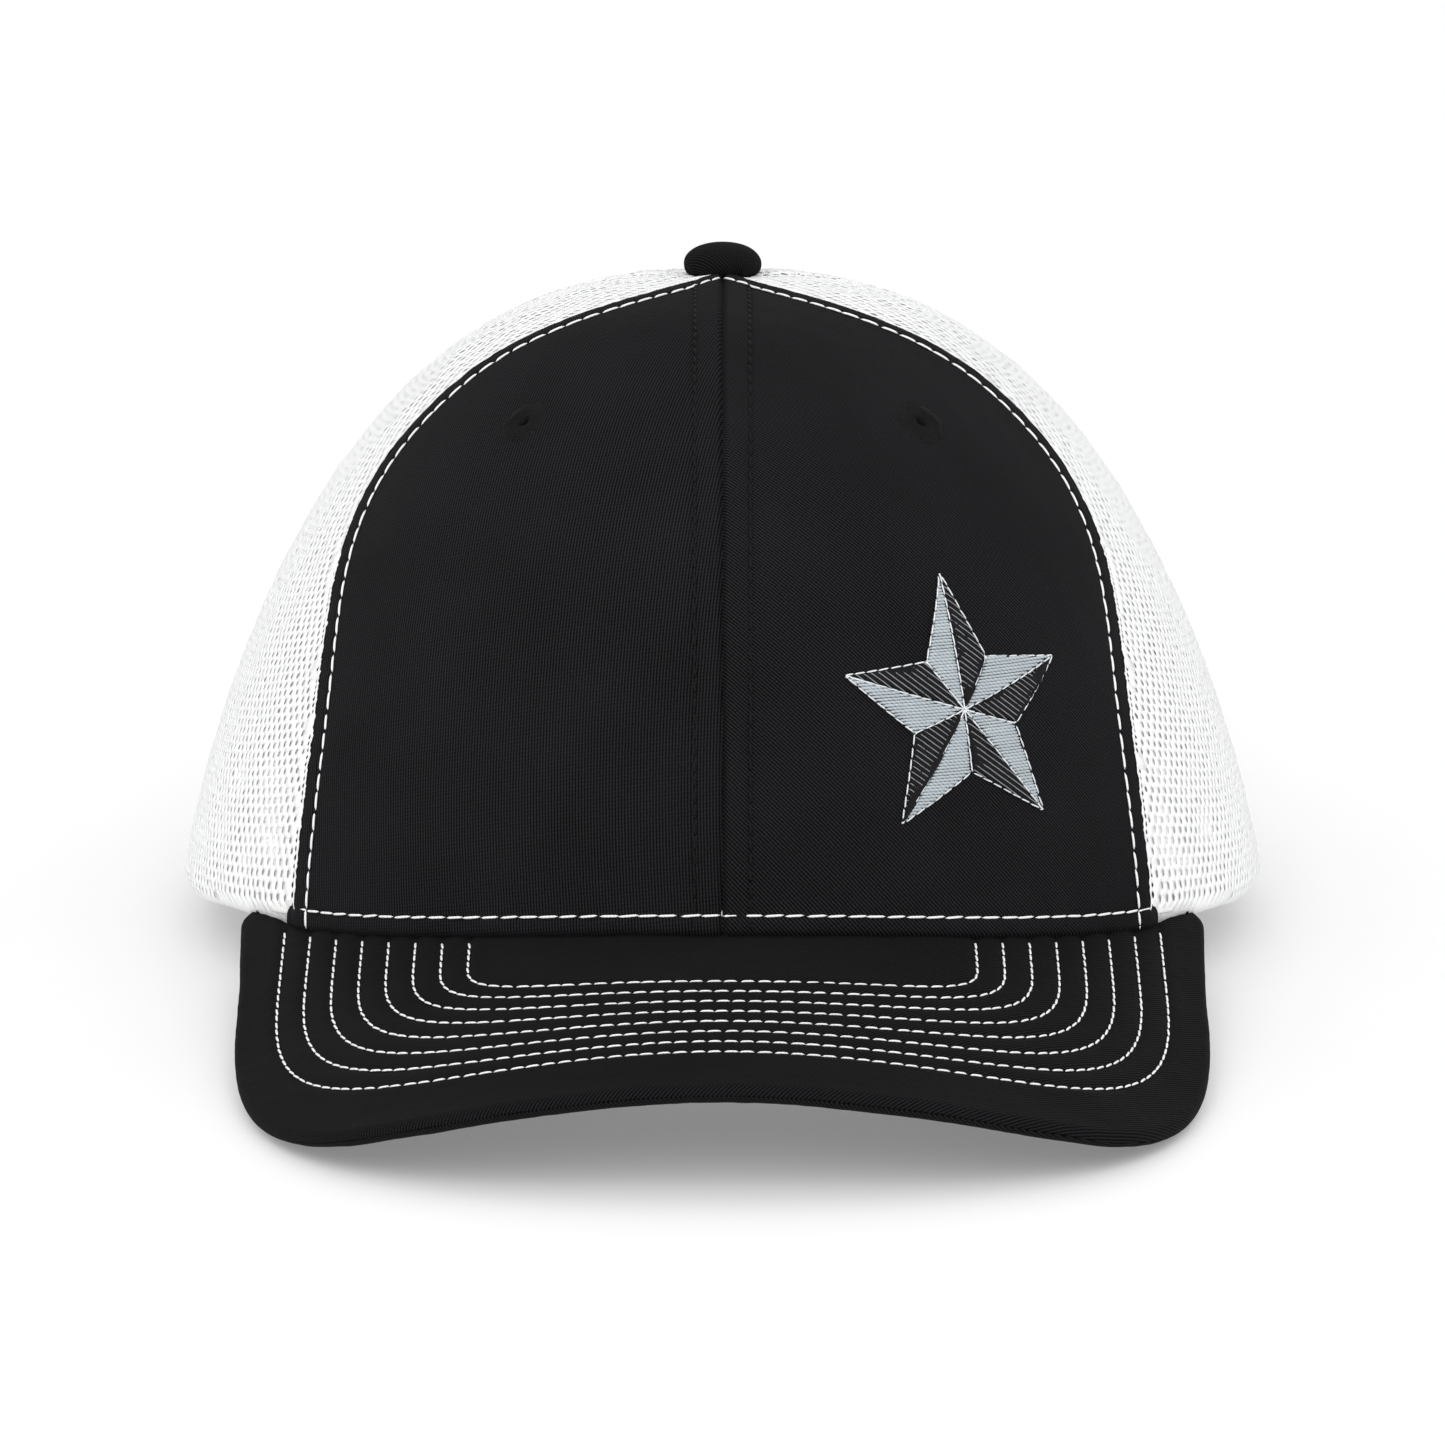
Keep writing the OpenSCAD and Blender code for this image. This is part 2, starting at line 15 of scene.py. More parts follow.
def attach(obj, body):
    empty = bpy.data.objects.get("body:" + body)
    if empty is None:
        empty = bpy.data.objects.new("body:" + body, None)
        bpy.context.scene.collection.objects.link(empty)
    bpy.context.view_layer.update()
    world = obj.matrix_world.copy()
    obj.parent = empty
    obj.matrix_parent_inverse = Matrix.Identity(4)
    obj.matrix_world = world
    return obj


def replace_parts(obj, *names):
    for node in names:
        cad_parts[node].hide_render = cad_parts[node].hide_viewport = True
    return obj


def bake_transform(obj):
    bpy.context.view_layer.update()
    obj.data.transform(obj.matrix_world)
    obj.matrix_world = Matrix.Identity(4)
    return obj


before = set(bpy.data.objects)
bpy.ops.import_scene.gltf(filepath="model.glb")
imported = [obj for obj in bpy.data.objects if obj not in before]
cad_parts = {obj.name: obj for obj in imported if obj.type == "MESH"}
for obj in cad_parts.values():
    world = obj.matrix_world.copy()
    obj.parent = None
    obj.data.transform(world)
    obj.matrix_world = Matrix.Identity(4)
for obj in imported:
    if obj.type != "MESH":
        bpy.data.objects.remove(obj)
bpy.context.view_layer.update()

# ---- Dimensions ----

# They are the CAD model's, but for a few that follow the photograph more closely here: the crown's peak,
# what the black panels have under the knit, the stitching along their edges, and the eyelets.

CROWN_HALF_W, CROWN_FRONT, CROWN_BACK, CROWN_H, CROWN_LEAN = 94.5, 97.0, 95.0, 107.0, 10.0
WALL_FRONT, WALL_SIDE, WALL_BACK, ROOF_SQUARE = 2.1, 1.31, 1.46, 2.7
TWILL_T, BUCKRAM_T, TAPE_T, SWEATBAND_T = 0.6, 0.8, 0.5, 1.6
BUCKRAM_AT, TAPE_AT, SWEATBAND_AT = 0.7, 1.8, 2.75

SEAM_BASE, SEAM_BULGE, SEAM_BULGE_AT, SEAM_BULGE_W = 49.7, 11.9, 53.0, 19.4
SEAM_TURN, SEAM_TURN_AT, SIDE_SEAM, TOP_ANGLE = 31.9, 64.0, 116.0, 89.6
EDGE_GAP, PEAK, PEAK_REACH = 0.15, 0.8, 0.23
FRONT_MIDDLE, SIDE_MIDDLE, REAR_MIDDLE, RIGHT_GRAIN = 26.0, 84.0, 146.0, 40.0

VISOR_LEN, VISOR_HALF_W, VISOR_SLOPE, VISOR_RISE = 66.0, 81.4, 9.6, 8.0
CAMBER_SEAM, CAMBER_FRONT, CAMBER_FROM, CAMBER_OVER, CAMBER_EDGE = 0.0015, 0.0031, 45.0, 95.0, 0.95e-7
SIDE_END, SIDE_TAPER, SIDE_REACH, OUTLINE_X, OUTLINE_S = -21.5, 0.036, 28.0, 3.06, 3.12
SEAM_ALLOWANCE, SEAM_CLEAR, FOOT_FADE, VISOR_T, COVER_T = 1.7, 0.6, 22.0, 2.9, 0.5
VISOR_ROWS = 8
ROW_IN = {"w": 42.0, "s": 19.3, "end": 1.0, "power": 1.8}
ROW_OUT = {"w": 74.0, "s": 50.0, "end": -15.9, "power": 3.06}

OPENING_HALF_W, OPENING_H = 43.0, 47.0
STRAP_H, STRAP_T, STRAP_Z, STRAP_R, STRAP_CONE, STRAP_GAP = 18.0, 1.2, 3.5, 91.3, 0.15, 0.15
STRAP_ROOT, STRAP_END, TAB_END, SNAP_PITCH, SNAP_COUNT, HOLE_R = 24.0, -13.4, 32.0, 5.2, 7, 2.6
SWEATBAND_H, SWEATBAND_END, SWEATBAND_FOOT, TAPE_W = 34.0, 146.5, 0.5, 15.0
BUTTON_R, BUTTON_H, BUTTON_WIDEST, NECK_R = 6.7, 6.2, 2.6, 4.9

SEAM_UNDER, EDGE_STITCH, BASE_STITCH, CENTRE_STITCH, REAR_STITCH = 0.8, 3.5, 3.0, 4.6, 3.6
EYELET_PHI, EYELET_U, EYELET_R, EYELET_HOLE_R, EYELET_CUT_R = 33.3, 56.8, 4.5, 0.9, 2.3
STAR_PHI, STAR_Z, STAR_R, STAR_WAIST, STAR_POINTS, STAR_T = 27.0, 43.5, 22.0, 0.46, 5, 0.7


def mix(a, b, t):
    return a + (b - a) * t


def ease(t):
    t = np.clip(t, 0, 1)
    return t * t * (3 - 2 * t)


def sin(degrees):
    return np.sin(np.radians(degrees))


def cos(degrees):
    return np.cos(np.radians(degrees))


def unit(v):
    return v / np.maximum(np.linalg.norm(v, axis=-1, keepdims=True), 1e-12)


def dip(distance, depth, width):
    """A rounded groove of that depth and half-width."""
    return -depth * np.exp(-((distance / width) ** 2))


def lengths_along(path):
    """How far along a path each of its points is."""
    return np.concatenate([[0], np.cumsum(np.linalg.norm(np.diff(path, axis=0), axis=1))])


def read_at(at, along, values):
    """The values of a path's points, read at some distances along it."""
    return np.stack([np.interp(at, along, column) for column in values.T], -1)


def resample(path, count):
    """The path again, with count points evenly along it."""
    along = lengths_along(path)
    return read_at(np.linspace(0, along[-1], count), along, path)


def evenly(path, step):
    """The path again, with points about step apart."""
    return resample(path, max(2, math.ceil(lengths_along(path)[-1] / step) + 1))


def outwards(path):
    """Unit vectors to the right of a flat path, at each of its points."""
    return unit(np.gradient(path, axis=0)) @ np.array([[0, -1], [1, 0]])


def ripples(points, wavelength, seed, waves=9):
    """Smooth noise from about -1 to 1: a few sine waves in directions that the seed picks."""
    r = np.random.default_rng(seed)
    ways = unit(r.normal(size=(waves, points.shape[-1]))) * r.uniform(0.7, 1.5, (waves, 1))
    phases = r.uniform(0, 2 * np.pi, waves)
    return np.sin(points @ ways.T * 2 * np.pi / wavelength + phases).sum(-1) / math.sqrt(waves)


# ---- Crown surface ----


def wall_power(phi):
    front, back = np.maximum(cos(phi), 0) ** 2, np.maximum(-cos(phi), 0) ** 2
    return WALL_SIDE + (WALL_FRONT - WALL_SIDE) * front + (WALL_BACK - WALL_SIDE) * back


def width_at(u):
    """How wide the crown is at angle u, as a share of its base."""
    return np.maximum(cos(u), 0) ** (2 / ROOF_SQUARE)


def crown_face(phi, u):
    phi, u = np.broadcast_arrays(np.asarray(phi, float), np.asarray(u, float))
    around = width_at(u)
    level = np.maximum(sin(np.maximum(u, 0)), 1e-9) ** (2 / wall_power(phi))
    depth = np.where(cos(phi) > 0, CROWN_FRONT, CROWN_BACK)
    return np.stack(
        [
            CROWN_HALF_W * around * sin(phi),
            -depth * around * cos(phi) - CROWN_LEAN * level**2,
            CROWN_H * level + PEAK * np.exp(-((around / PEAK_REACH) ** 2)),
        ],
        -1,
    )


def crown_normal(phi, u):
    top = np.minimum(u, 88.5)
    across = crown_face(phi + 0.5, top) - crown_face(phi - 0.5, top)
    return unit(np.cross(across, crown_face(phi, top + 1) - crown_face(phi, top)))


def crown(phi, u, proud=0.0):
    return crown_face(phi, u) + np.asarray(proud)[..., None] * crown_normal(phi, u)


def angle_at(phi, z):
    return np.degrees(np.arcsin(np.clip((np.maximum(z, 0) / CROWN_H) ** (wall_power(phi) / 2), 0, 1)))


def front_seam(u):
    """The seam between a front panel and the mesh. The black edge runs on a little under the knit."""
    bulge = SEAM_BULGE * np.exp(-(((u - SEAM_BULGE_AT) / SEAM_BULGE_W) ** 2))
    turn = SEAM_TURN * np.clip((u - SEAM_TURN_AT) / (90 - SEAM_TURN_AT), 0, 1) ** 2
    return SEAM_BASE + bulge - turn + SEAM_UNDER / np.maximum(mm_per_degree(u), 0.3)


def mm_per_degree(u):
    return np.radians(CROWN_HALF_W * np.maximum(width_at(u), 0.02))


def back_azimuth(x, z):
    """Azimuth at the back where the wall is x from the middle at height z."""
    phi = np.full(np.broadcast(x, z).shape, 160.0)
    for _ in range(5):
        half_w = CROWN_HALF_W * width_at(angle_at(phi, z))
        phi = 180 - np.degrees(np.arcsin(np.clip(x / half_w, -1, 1)))
    return phi


# ---- Visor surface: x across, s forward from the middle of the front seam ----


def visor_face(x, s):
    camber = mix(CAMBER_SEAM, CAMBER_FRONT, np.clip((s + CAMBER_FROM) / CAMBER_OVER, 0, 1))
    return VISOR_RISE - s * math.tan(math.radians(VISOR_SLOPE)) - camber * x**2 - CAMBER_EDGE * x**4


def visor_at(x, s):
    return np.stack([x, -CROWN_FRONT - s, visor_face(x, s)], -1)


def visor_normal(x, s):
    across = visor_at(x + 0.5, s) - visor_at(x - 0.5, s)
    return unit(np.cross(across, visor_at(x, s - 0.5) - visor_at(x, s + 0.5)))


def seam_s(x):
    return -CROWN_FRONT * (1 - np.sqrt(1 - (x / CROWN_HALF_W) ** 2))


VISOR_END_PHI = math.degrees(math.asin((VISOR_HALF_W + SIDE_TAPER * SIDE_REACH) / CROWN_HALF_W))


def foot(phi):
    """Height of the crown's lower edge."""
    x = CROWN_HALF_W * sin(np.minimum(np.abs(phi), VISOR_END_PHI))
    away = np.abs(phi) - VISOR_END_PHI
    return (visor_face(x, seam_s(x)) + SEAM_CLEAR) * (1 - ease(away / FOOT_FADE))


def half_step(t):
    """Even steps along a superellipse's half, in degrees."""
    def quarter(q):
        a, b = q**1.5, (1 - q) ** 1.5
        return 90 * a / (a + b)

    t = np.asarray(t, float)
    return np.where(t < 0.5, quarter(np.clip(2 * t, 0, 1)), 180 - quarter(np.clip(2 - 2 * t, 0, 1)))


def rounded_u(half_w, end_s, front_s, power_x, t):
    """A rounded U seen from above: t from 0 at its +X side to 1 at its -X side."""
    c = cos(half_step(t))
    return (
        half_w * np.sign(c) * np.abs(c) ** (2 / power_x),
        end_s + (front_s - end_s) * np.maximum(sin(half_step(t)), 0) ** (2 / OUTLINE_S),
    )


def arch_point(turn, w, proud):
    """A point w outside the edge of the rear opening, at turn from 0 at its left foot to 180."""
    x = (OPENING_HALF_W + w) * cos(turn)
    z = np.maximum((OPENING_H + w) * sin(turn), 0.2)
    phi = back_azimuth(x, z)
    return crown(phi, angle_at(phi, z), proud)


# ---- Stance ----

BACK_FOOT_Y = CROWN_BACK * math.sqrt(1 - (OPENING_HALF_W / CROWN_HALF_W) ** 2)


def nose_up():
    """How far the cap tips up until the visor's corners and the back of the crown are level."""
    x, s = rounded_u(VISOR_HALF_W, SIDE_END, VISOR_LEN, OUTLINE_X, np.linspace(0, 0.5, 61))
    low = visor_at(x, s) - [0, 0, VISOR_T]
    return float(np.degrees(np.arctan(-low[:, 2] / (BACK_FOOT_Y - low[:, 1]))).max())


TIP = nose_up()
FRONT_TIP = visor_at(0.0, VISOR_LEN)
SHIFT = -(
    FRONT_TIP[1] * cos(TIP) + FRONT_TIP[2] * sin(TIP) + STRAP_R * cos(TIP) + STRAP_Z * sin(TIP)
) / 2
LIFT = BACK_FOOT_Y * sin(TIP)
TURN = np.array([[1, 0, 0], [0, cos(TIP), sin(TIP)], [0, -sin(TIP), cos(TIP)]])


def stand(points):
    """Crown frame in millimetres to the frame in metres."""
    return (np.asarray(points) @ TURN.T + [0, SHIFT, LIFT]) / 1000


# ---- Materials ----


def add(tree, kind, sockets, **settings):
    """A node with its settings, and with its sockets set or linked."""
    node = tree.nodes.new(kind)
    for name, value in settings.items():
        setattr(node, name, value)
    for socket, value in sockets.items():
        if isinstance(value, bpy.types.NodeSocket):
            tree.links.new(value, node.inputs[socket])
        else:
            node.inputs[socket].default_value = value
    return node


SLOTS = {"visor_shaded_twill": "black_twill", "pale_thread": "silver_thread", "grey_thread": "silver_thread"}


class Finish:
    """A procedural material and its slot. Its place is in mm: on the flat cloth, or in the piece."""

    def __init__(self, name, on_cloth=True, **shader):
        self.slot = SLOTS.get(name, name)
        self.material = bpy.data.materials.new(name)
        self.material.use_nodes = True
        self.tree = self.material.node_tree
        self.shader = self.tree.nodes["Principled BSDF"]
        for socket, value in shader.items():
            self.shader.inputs[socket.replace("_", " ")].default_value = value
        if on_cloth:
            self.place = add(self.tree, "ShaderNodeAttribute", {}, attribute_name="cloth").outputs["Vector"]
        else:
            place = add(self.tree, "ShaderNodeTexCoord", {}).outputs["Object"]
            scaled = add(self.tree, "ShaderNodeVectorMath", {0: place, "Scale": 1000.0}, operation="SCALE")
            self.place = scaled.outputs["Vector"]

    def maths(self, operation, a, b=0.0):
        return add(self.tree, "ShaderNodeMath", {0: a, 1: b}, operation=operation).outputs[0]

    def noise(self, size, detail=2.0, seed=0.0):
        """Noise from about 0 to 1, in spots of that size in millimetres."""
        sockets = {"Vector": self.place, "Scale": 1 / size, "Detail": detail, "W": seed}
        return add(self.tree, "ShaderNodeTexNoise", sockets, noise_dimensions="4D").outputs["Fac"]

    def waves(self, way, period, warp=0.0, warp_size=3.0):
        """Waves from -1 to 1 with that period, which run in direction way. warp bends them, in periods."""
        scale = 2 * math.pi / period / math.hypot(*way)
        dot = {0: self.place, 1: [w * scale for w in way]}
        level = add(self.tree, "ShaderNodeVectorMath", dot, operation="DOT_PRODUCT").outputs["Value"]
        if warp:
            bend = self.maths("MULTIPLY", self.noise(warp_size), warp * 2 * math.pi)
            level = self.maths("ADD", level, bend)
        return self.maths("SINE", level)

    def sum(self, *weighted):
        """The sum of (value, weight) pairs."""
        total = 0.0
        for value, weight in weighted:
            total = self.maths("ADD", total, self.maths("MULTIPLY", value, weight))
        return total

    def colour(self, amount, low, high):
        sockets = {"Factor": amount, 6: (*low, 1.0), 7: (*high, 1.0)}
        mixed = add(self.tree, "ShaderNodeMix", sockets, data_type="RGBA")
        self.tree.links.new(mixed.outputs[2], self.shader.inputs["Base Color"])

    def rough(self, amount, low, high):
        span = {"Value": amount, "To Min": low, "To Max": high}
        made = add(self.tree, "ShaderNodeMapRange", span)
        self.tree.links.new(made.outputs["Result"], self.shader.inputs["Roughness"])

    def bump(self, height, depth, strength=0.7):
        """The last step, which gives the material and its slot. depth is in millimetres."""
        sockets = {"Height": height, "Distance": depth / 1000, "Strength": strength}
        made = add(self.tree, "ShaderNodeBump", sockets)
        self.tree.links.new(made.outputs["Normal"], self.shader.inputs["Normal"])
        return self.material, self.slot


def twill(name, low, high, period, sheen, shine, direction=(1, 1, 0)):
    """Cotton twill: diagonal ribs of short yarns, uneven in colour, with a soft sheen."""
    f = Finish(name, Sheen_Weight=sheen, Sheen_Roughness=0.45, Specular_IOR_Level=shine)
    ribs = f.waves(direction, period, 0.35, 2.2)
    yarns = f.maths("MULTIPLY", f.waves((-1, 1, 0), 0.62, 0.5, 1.1), 0.5)
    specks, patches = f.noise(0.55, 3), f.noise(22, 3)
    f.colour(f.sum((ribs, 0.42), (yarns, 0.15), (specks, 0.5), (patches, 0.3), (1.0, 0.05)), low, high)
    f.rough(specks, 0.72, 0.95)
    return f.bump(f.sum((ribs, 0.5), (yarns, 0.35), (specks, 0.8)), 0.11)


def plain_weave(name, low, high, period, sheen=0.15, open_weave=False, depth=0.1):
    """Plain weave: warp over weft, uneven in colour."""
    f = Finish(name, Sheen_Weight=sheen, Specular_IOR_Level=0.25)
    across, up = f.waves((1, 0, 0), period, 0.12), f.waves((0, 1, 0), period, 0.12)
    threads = f.maths("MULTIPLY", across, up)
    specks, patches = f.noise(0.8, 3), f.noise(15, 3)
    if open_weave:
        threads = f.maths("MAXIMUM", f.maths("ABSOLUTE", across), f.maths("ABSOLUTE", up))
    f.colour(f.sum((threads, 0.3), (specks, 0.4), (patches, 0.4), (1.0, 0.05)), low, high)
    f.rough(specks, 0.7, 0.95)
    return f.bump(f.sum((threads, 0.6), (specks, 0.6)), depth)


def knit(name, low, high):
    """Knit polyester: columns of small loops round the holes."""
    f = Finish(name, Sheen_Weight=0.1, Specular_IOR_Level=0.3)
    loops = f.maths("MULTIPLY", f.waves((1, 0, 0), 0.49, 0.15), f.waves((0, 1, 0), 0.38, 0.15))
    cords = f.waves((0, 1, 0), 1.52, 0.08)
    specks, patches = f.noise(0.5, 3), f.noise(18, 3)
    f.colour(f.sum((loops, 0.18), (specks, 0.5), (patches, 0.3), (1.0, 0.1)), low, high)
    f.rough(specks, 0.55, 0.85)
    return f.bump(f.sum((loops, 0.6), (cords, 0.4), (specks, 0.5)), 0.14)


def thread(name, low, high, sheen=0.2, roughness=(0.45, 0.7), period=0.36):
    """Twisted thread: fine slanting plies with stray fibres."""
    f = Finish(name, on_cloth=False, Sheen_Weight=sheen, Specular_IOR_Level=min(0.4, 2 * sheen + 0.05))
    plies, specks, patches = f.waves((1, 0.7, 1), period, 0.3, 1.5), f.noise(0.25, 2), f.noise(4, 2)
    f.colour(f.sum((plies, 0.2), (specks, 0.5), (patches, 0.4), (1.0, 0.05)), low, high)
    f.rough(specks, *roughness)
    return f.bump(f.sum((plies, 0.5), (specks, 0.4)), 0.06)


def moulded(name, low, high, grain, roughness, depth, **shader):
    """Plastic or metal with a fine grain, mottling and faint scuffs."""
    f = Finish(name, on_cloth=False, **shader)
    fine, patches = f.noise(grain, 4), f.noise(12, 3)
    scuffs = f.maths("POWER", f.noise(2.2, 5, 3.0), 3.0)
    f.colour(f.sum((fine, 0.3), (patches, 0.5), (scuffs, 0.6)), low, high)
    f.rough(f.sum((patches, 0.6), (scuffs, 1.2)), *roughness)
    return f.bump(f.sum((fine, 0.7), (patches, 0.5)), depth)


BLACK_TWILL = twill("black_twill", (0.0005, 0.0005, 0.0006), (0.0175, 0.0175, 0.0195), 0.52, 0.01, 0.05)
# The visor's and the button's twill is the black twill again, made about a quarter darker: painted shade,
# since the same cloth comes out lighter on the visor, which faces the lamps more than the panels do.
VISOR_SHADED_TWILL = twill("visor_shaded_twill", (0.0004, 0.0004, 0.0005), (0.0125, 0.0125, 0.0138), 0.52, 0.01, 0.04)
WHITE_MESH = knit("white_mesh", (0.88, 0.885, 0.895), (0.97, 0.97, 0.975))
BUCKRAM = plain_weave("buckram", (0.5, 0.49, 0.45), (0.82, 0.81, 0.77), 1.1, open_weave=True, depth=0.25)
WHITE_TAPE = plain_weave("white_tape", (0.74, 0.74, 0.72), (0.9, 0.9, 0.89), 0.55)
BINDING = plain_weave("binding_cloth", (0.74, 0.74, 0.73), (0.9, 0.9, 0.89), 0.5)
SWEATBAND = twill("sweatband_cloth", (0.8, 0.8, 0.79), (0.93, 0.93, 0.92), 0.6, 0.3, 0.2, (1, 0.6, 0))
WHITE_THREAD = thread("white_thread", (0.72, 0.72, 0.71), (0.9, 0.9, 0.9))
BLACK_THREAD = thread("black_thread", (0.002, 0.002, 0.0025), (0.011, 0.011, 0.012), 0.01)
SILVER_THREAD = thread("silver_thread", (0.2, 0.235, 0.26), (0.5, 0.55, 0.58), 0.25, (0.3, 0.5), 0.6)
PALE_THREAD = thread("pale_thread", (0.5, 0.52, 0.54), (0.8, 0.82, 0.83), 0.15, (0.35, 0.6))
GREY_THREAD = thread("grey_thread", (0.12, 0.125, 0.13), (0.3, 0.31, 0.32), 0.1, (0.4, 0.6))
DARK_THREAD = thread("dark_thread", (0.003, 0.003, 0.004), (0.014, 0.014, 0.015), 0.01, (0.5, 0.7), 0.5)
STRAP_PLASTIC = moulded(
    "strap_plastic", (0.78, 0.79, 0.8), (0.88, 0.89, 0.9), 0.5, (0.28, 0.5), 0.03,
    Transmission_Weight=0.25, Coat_Weight=0.15, IOR=1.5,
)
VISOR_BOARD = moulded("visor_board", (0.68, 0.67, 0.63), (0.82, 0.81, 0.77), 0.8, (0.5, 0.7), 0.06)
BUTTON_METAL = moulded(
    "button_metal", (0.5, 0.51, 0.52), (0.7, 0.71, 0.72), 0.25, (0.3, 0.5), 0.02, Metallic=1.0
)
FLOOR = moulded(
    "floor", (0.655,) * 3, (0.67,) * 3, 30.0, (0.85, 0.95), 0.01,
    Emission_Color=(1, 1, 1, 1), Emission_Strength=0.193, Specular_IOR_Level=0.0,
)


# ---- Making pieces ----


def volume(points, faces):
    fans = [
        np.cross(points[f[:, k]], points[f[:, k + 1]]) * points[f[:, 0]]
        for f in faces for k in range(1, f.shape[1] - 1)
    ]
    return sum(fan.sum() for fan in fans) / 6


FLAT = {}


def put(name, data):
    """A new object in the scene."""
    made = bpy.data.objects.new(name, data)
    bpy.context.scene.collection.objects.link(made)
    return made


def measure_flat(name, outline):
    """Keeps the width, length and area of a flat cloth's outline, in metres."""
    x, y = outline.T
    area = abs(np.sum(x * np.roll(y, -1) - np.roll(x, -1) * y)) / 2
    FLAT[name] = (float(np.ptp(x)) / 1000, float(np.ptp(y)) / 1000, float(area) / 1e6)


def measure_strip(name, width, middle):
    """Keeps the flat size of a strip of that width along a middle line."""
    length = lengths_along(middle)[-1]
    measure_flat(name, np.array([[0, 0], [width, 0], [width, length], [0, length]]))


def build(name, points, faces, finish, cloth=None, mirror=False, body="cap", grain=0.0):
    """A smooth mesh piece that rides on a body. finish is a material and slot, of which only the material
    goes on the piece; cloth is each point's place on the flat cloth, in mm, and grain turns the weave on
    it."""
    points = np.asarray(points, float).reshape(-1, 3)
    if mirror:
        points = points * [-1, 1, 1]
    if volume(points, faces) < 0:
        faces = [f[:, ::-1] for f in faces]
    mesh = bpy.data.meshes.new(name)
    mesh.from_pydata(stand(points).tolist(), [], [f for part in faces for f in part.tolist()])
    if cloth is not None:
        flat = np.zeros((len(points), 3), np.float32)
        flat[:, : cloth.shape[-1]] = cloth.reshape(len(points), -1)
        flat[:, 0] *= -1 if mirror else 1
        across = flat[:, 0] * cos(grain) - flat[:, 1] * sin(grain)
        flat[:, 1] = flat[:, 0] * sin(grain) + flat[:, 1] * cos(grain)
        flat[:, 0] = across
        mesh.attributes.new("cloth", "FLOAT_VECTOR", "POINT").data.foreach_set("vector", flat.ravel())
    mesh.polygons.foreach_set("use_smooth", [True] * len(mesh.polygons))
    material, slot = finish
    mesh.materials.append(material)
    piece = put(name, mesh)
    if body:
        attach(piece, body)
    return piece


def edge_of(faces, count):
    """The edges that only one face uses, as from and to, with the cloth on their left."""
    pairs = np.concatenate([np.stack([f.ravel(), np.roll(f, -1, 1).ravel()], 1) for f in faces])
    alone = ~np.isin(pairs[:, 0] * count + pairs[:, 1], pairs[:, 1] * count + pairs[:, 0])
    return pairs[alone].T


def thicken(top, bottom, faces, bulge=0.0):
    """Points and faces of a closed sheet between two faces. bulge rounds its edges outwards."""
    n = len(top)
    a, b = edge_of(faces, n)
    points, made = [top, bottom], [*faces, *[f[:, ::-1] + n for f in faces]]
    if not bulge:
        return np.concatenate(points), [*made, np.stack([b, a, a + n, b + n], 1)]
    before, after, ring = np.zeros(n, int), np.zeros(n, int), np.zeros(n, int)
    after[a], before[b] = b, a
    ring[a] = 2 * n + np.arange(len(a))
    out = np.cross(unit(top[after[a]] - top[before[a]]), unit(top[a] - bottom[a]))
    points.append((top[a] + bottom[a]) / 2 + out * bulge)
    made += [np.stack([b, a, ring[a], ring[b]], 1), np.stack([ring[b], ring[a], a + n, b + n], 1)]
    return np.concatenate(points), made


def grid(rows, cols, closed=False):
    """Faces of a grid of points. Its rows go across and each row's points go up, or round if closed."""
    i = np.arange(rows * cols).reshape(rows, cols)
    if closed:
        i = np.concatenate([i, i[:, :1]], 1)
    return np.stack([i[:-1, :-1], i[1:, :-1], i[1:, 1:], i[:-1, 1:]], -1).reshape(-1, 4)


def sheet_piece(name, top, thick, finish, cloth, bulge=0.2, keep=None, **more):
    """A closed sheet on a grid of points (across, up, 3), which lies thick below its outer face."""
    rows, cols = top.shape[:2]
    measure_flat(name, np.concatenate([cloth[:, 0], cloth[-1, 1:], cloth[-2::-1, -1], cloth[0, -2:0:-1]]))
    normal = unit(np.cross(np.gradient(top, axis=0), np.gradient(top, axis=1))).reshape(-1, 3)
    top, cloth, faces = top.reshape(-1, 3), cloth.reshape(rows * cols, -1), grid(rows, cols)
    if keep is not None:
        faces = faces[keep(top[faces].mean(1))]
    points, made = thicken(top, top - normal * thick, [faces], bulge)
    flat = np.concatenate([cloth, cloth, cloth[edge_of([faces], rows * cols)[0]]])
    return build(name, points, made, finish, flat, **more)


def solid_sweep(sections):
    """Points and faces of a closed bar through sections (section, point, 3), each read clockwise
    seen from the bar's start."""
    rows, cols = sections.shape[:2]
    last = np.arange((rows - 1) * cols, rows * cols)
    return sections.reshape(-1, 3), [grid(rows, cols, True), np.arange(cols)[None], last[None, ::-1]]


def tubes(lines, normals, radius, flat=1.0, sides=6):
    """Closed tubes along lines (line, point, 3), with a radius at each point, flattened on the cloth."""
    along = unit(np.gradient(lines, axis=1))
    side = unit(np.cross(along, normals))
    up = np.cross(side, along)
    count, length = lines.shape[:2]
    turn = np.arange(sides) * 2 * np.pi / sides
    ring = np.cos(turn)[:, None] * side[:, :, None] + flat * np.sin(turn)[:, None] * up[:, :, None]
    points = lines[:, :, None] + ring * np.broadcast_to(radius, (count, length))[..., None, None]
    i = np.arange(count * length * sides).reshape(count, length, sides)
    a, b = i[:, :-1], i[:, 1:]
    skin = np.stack([a, np.roll(a, -1, 2), np.roll(b, -1, 2), b], -1).reshape(-1, 4)
    return points.reshape(-1, 3), [skin, i[:, 0, ::-1], i[:, -1]]


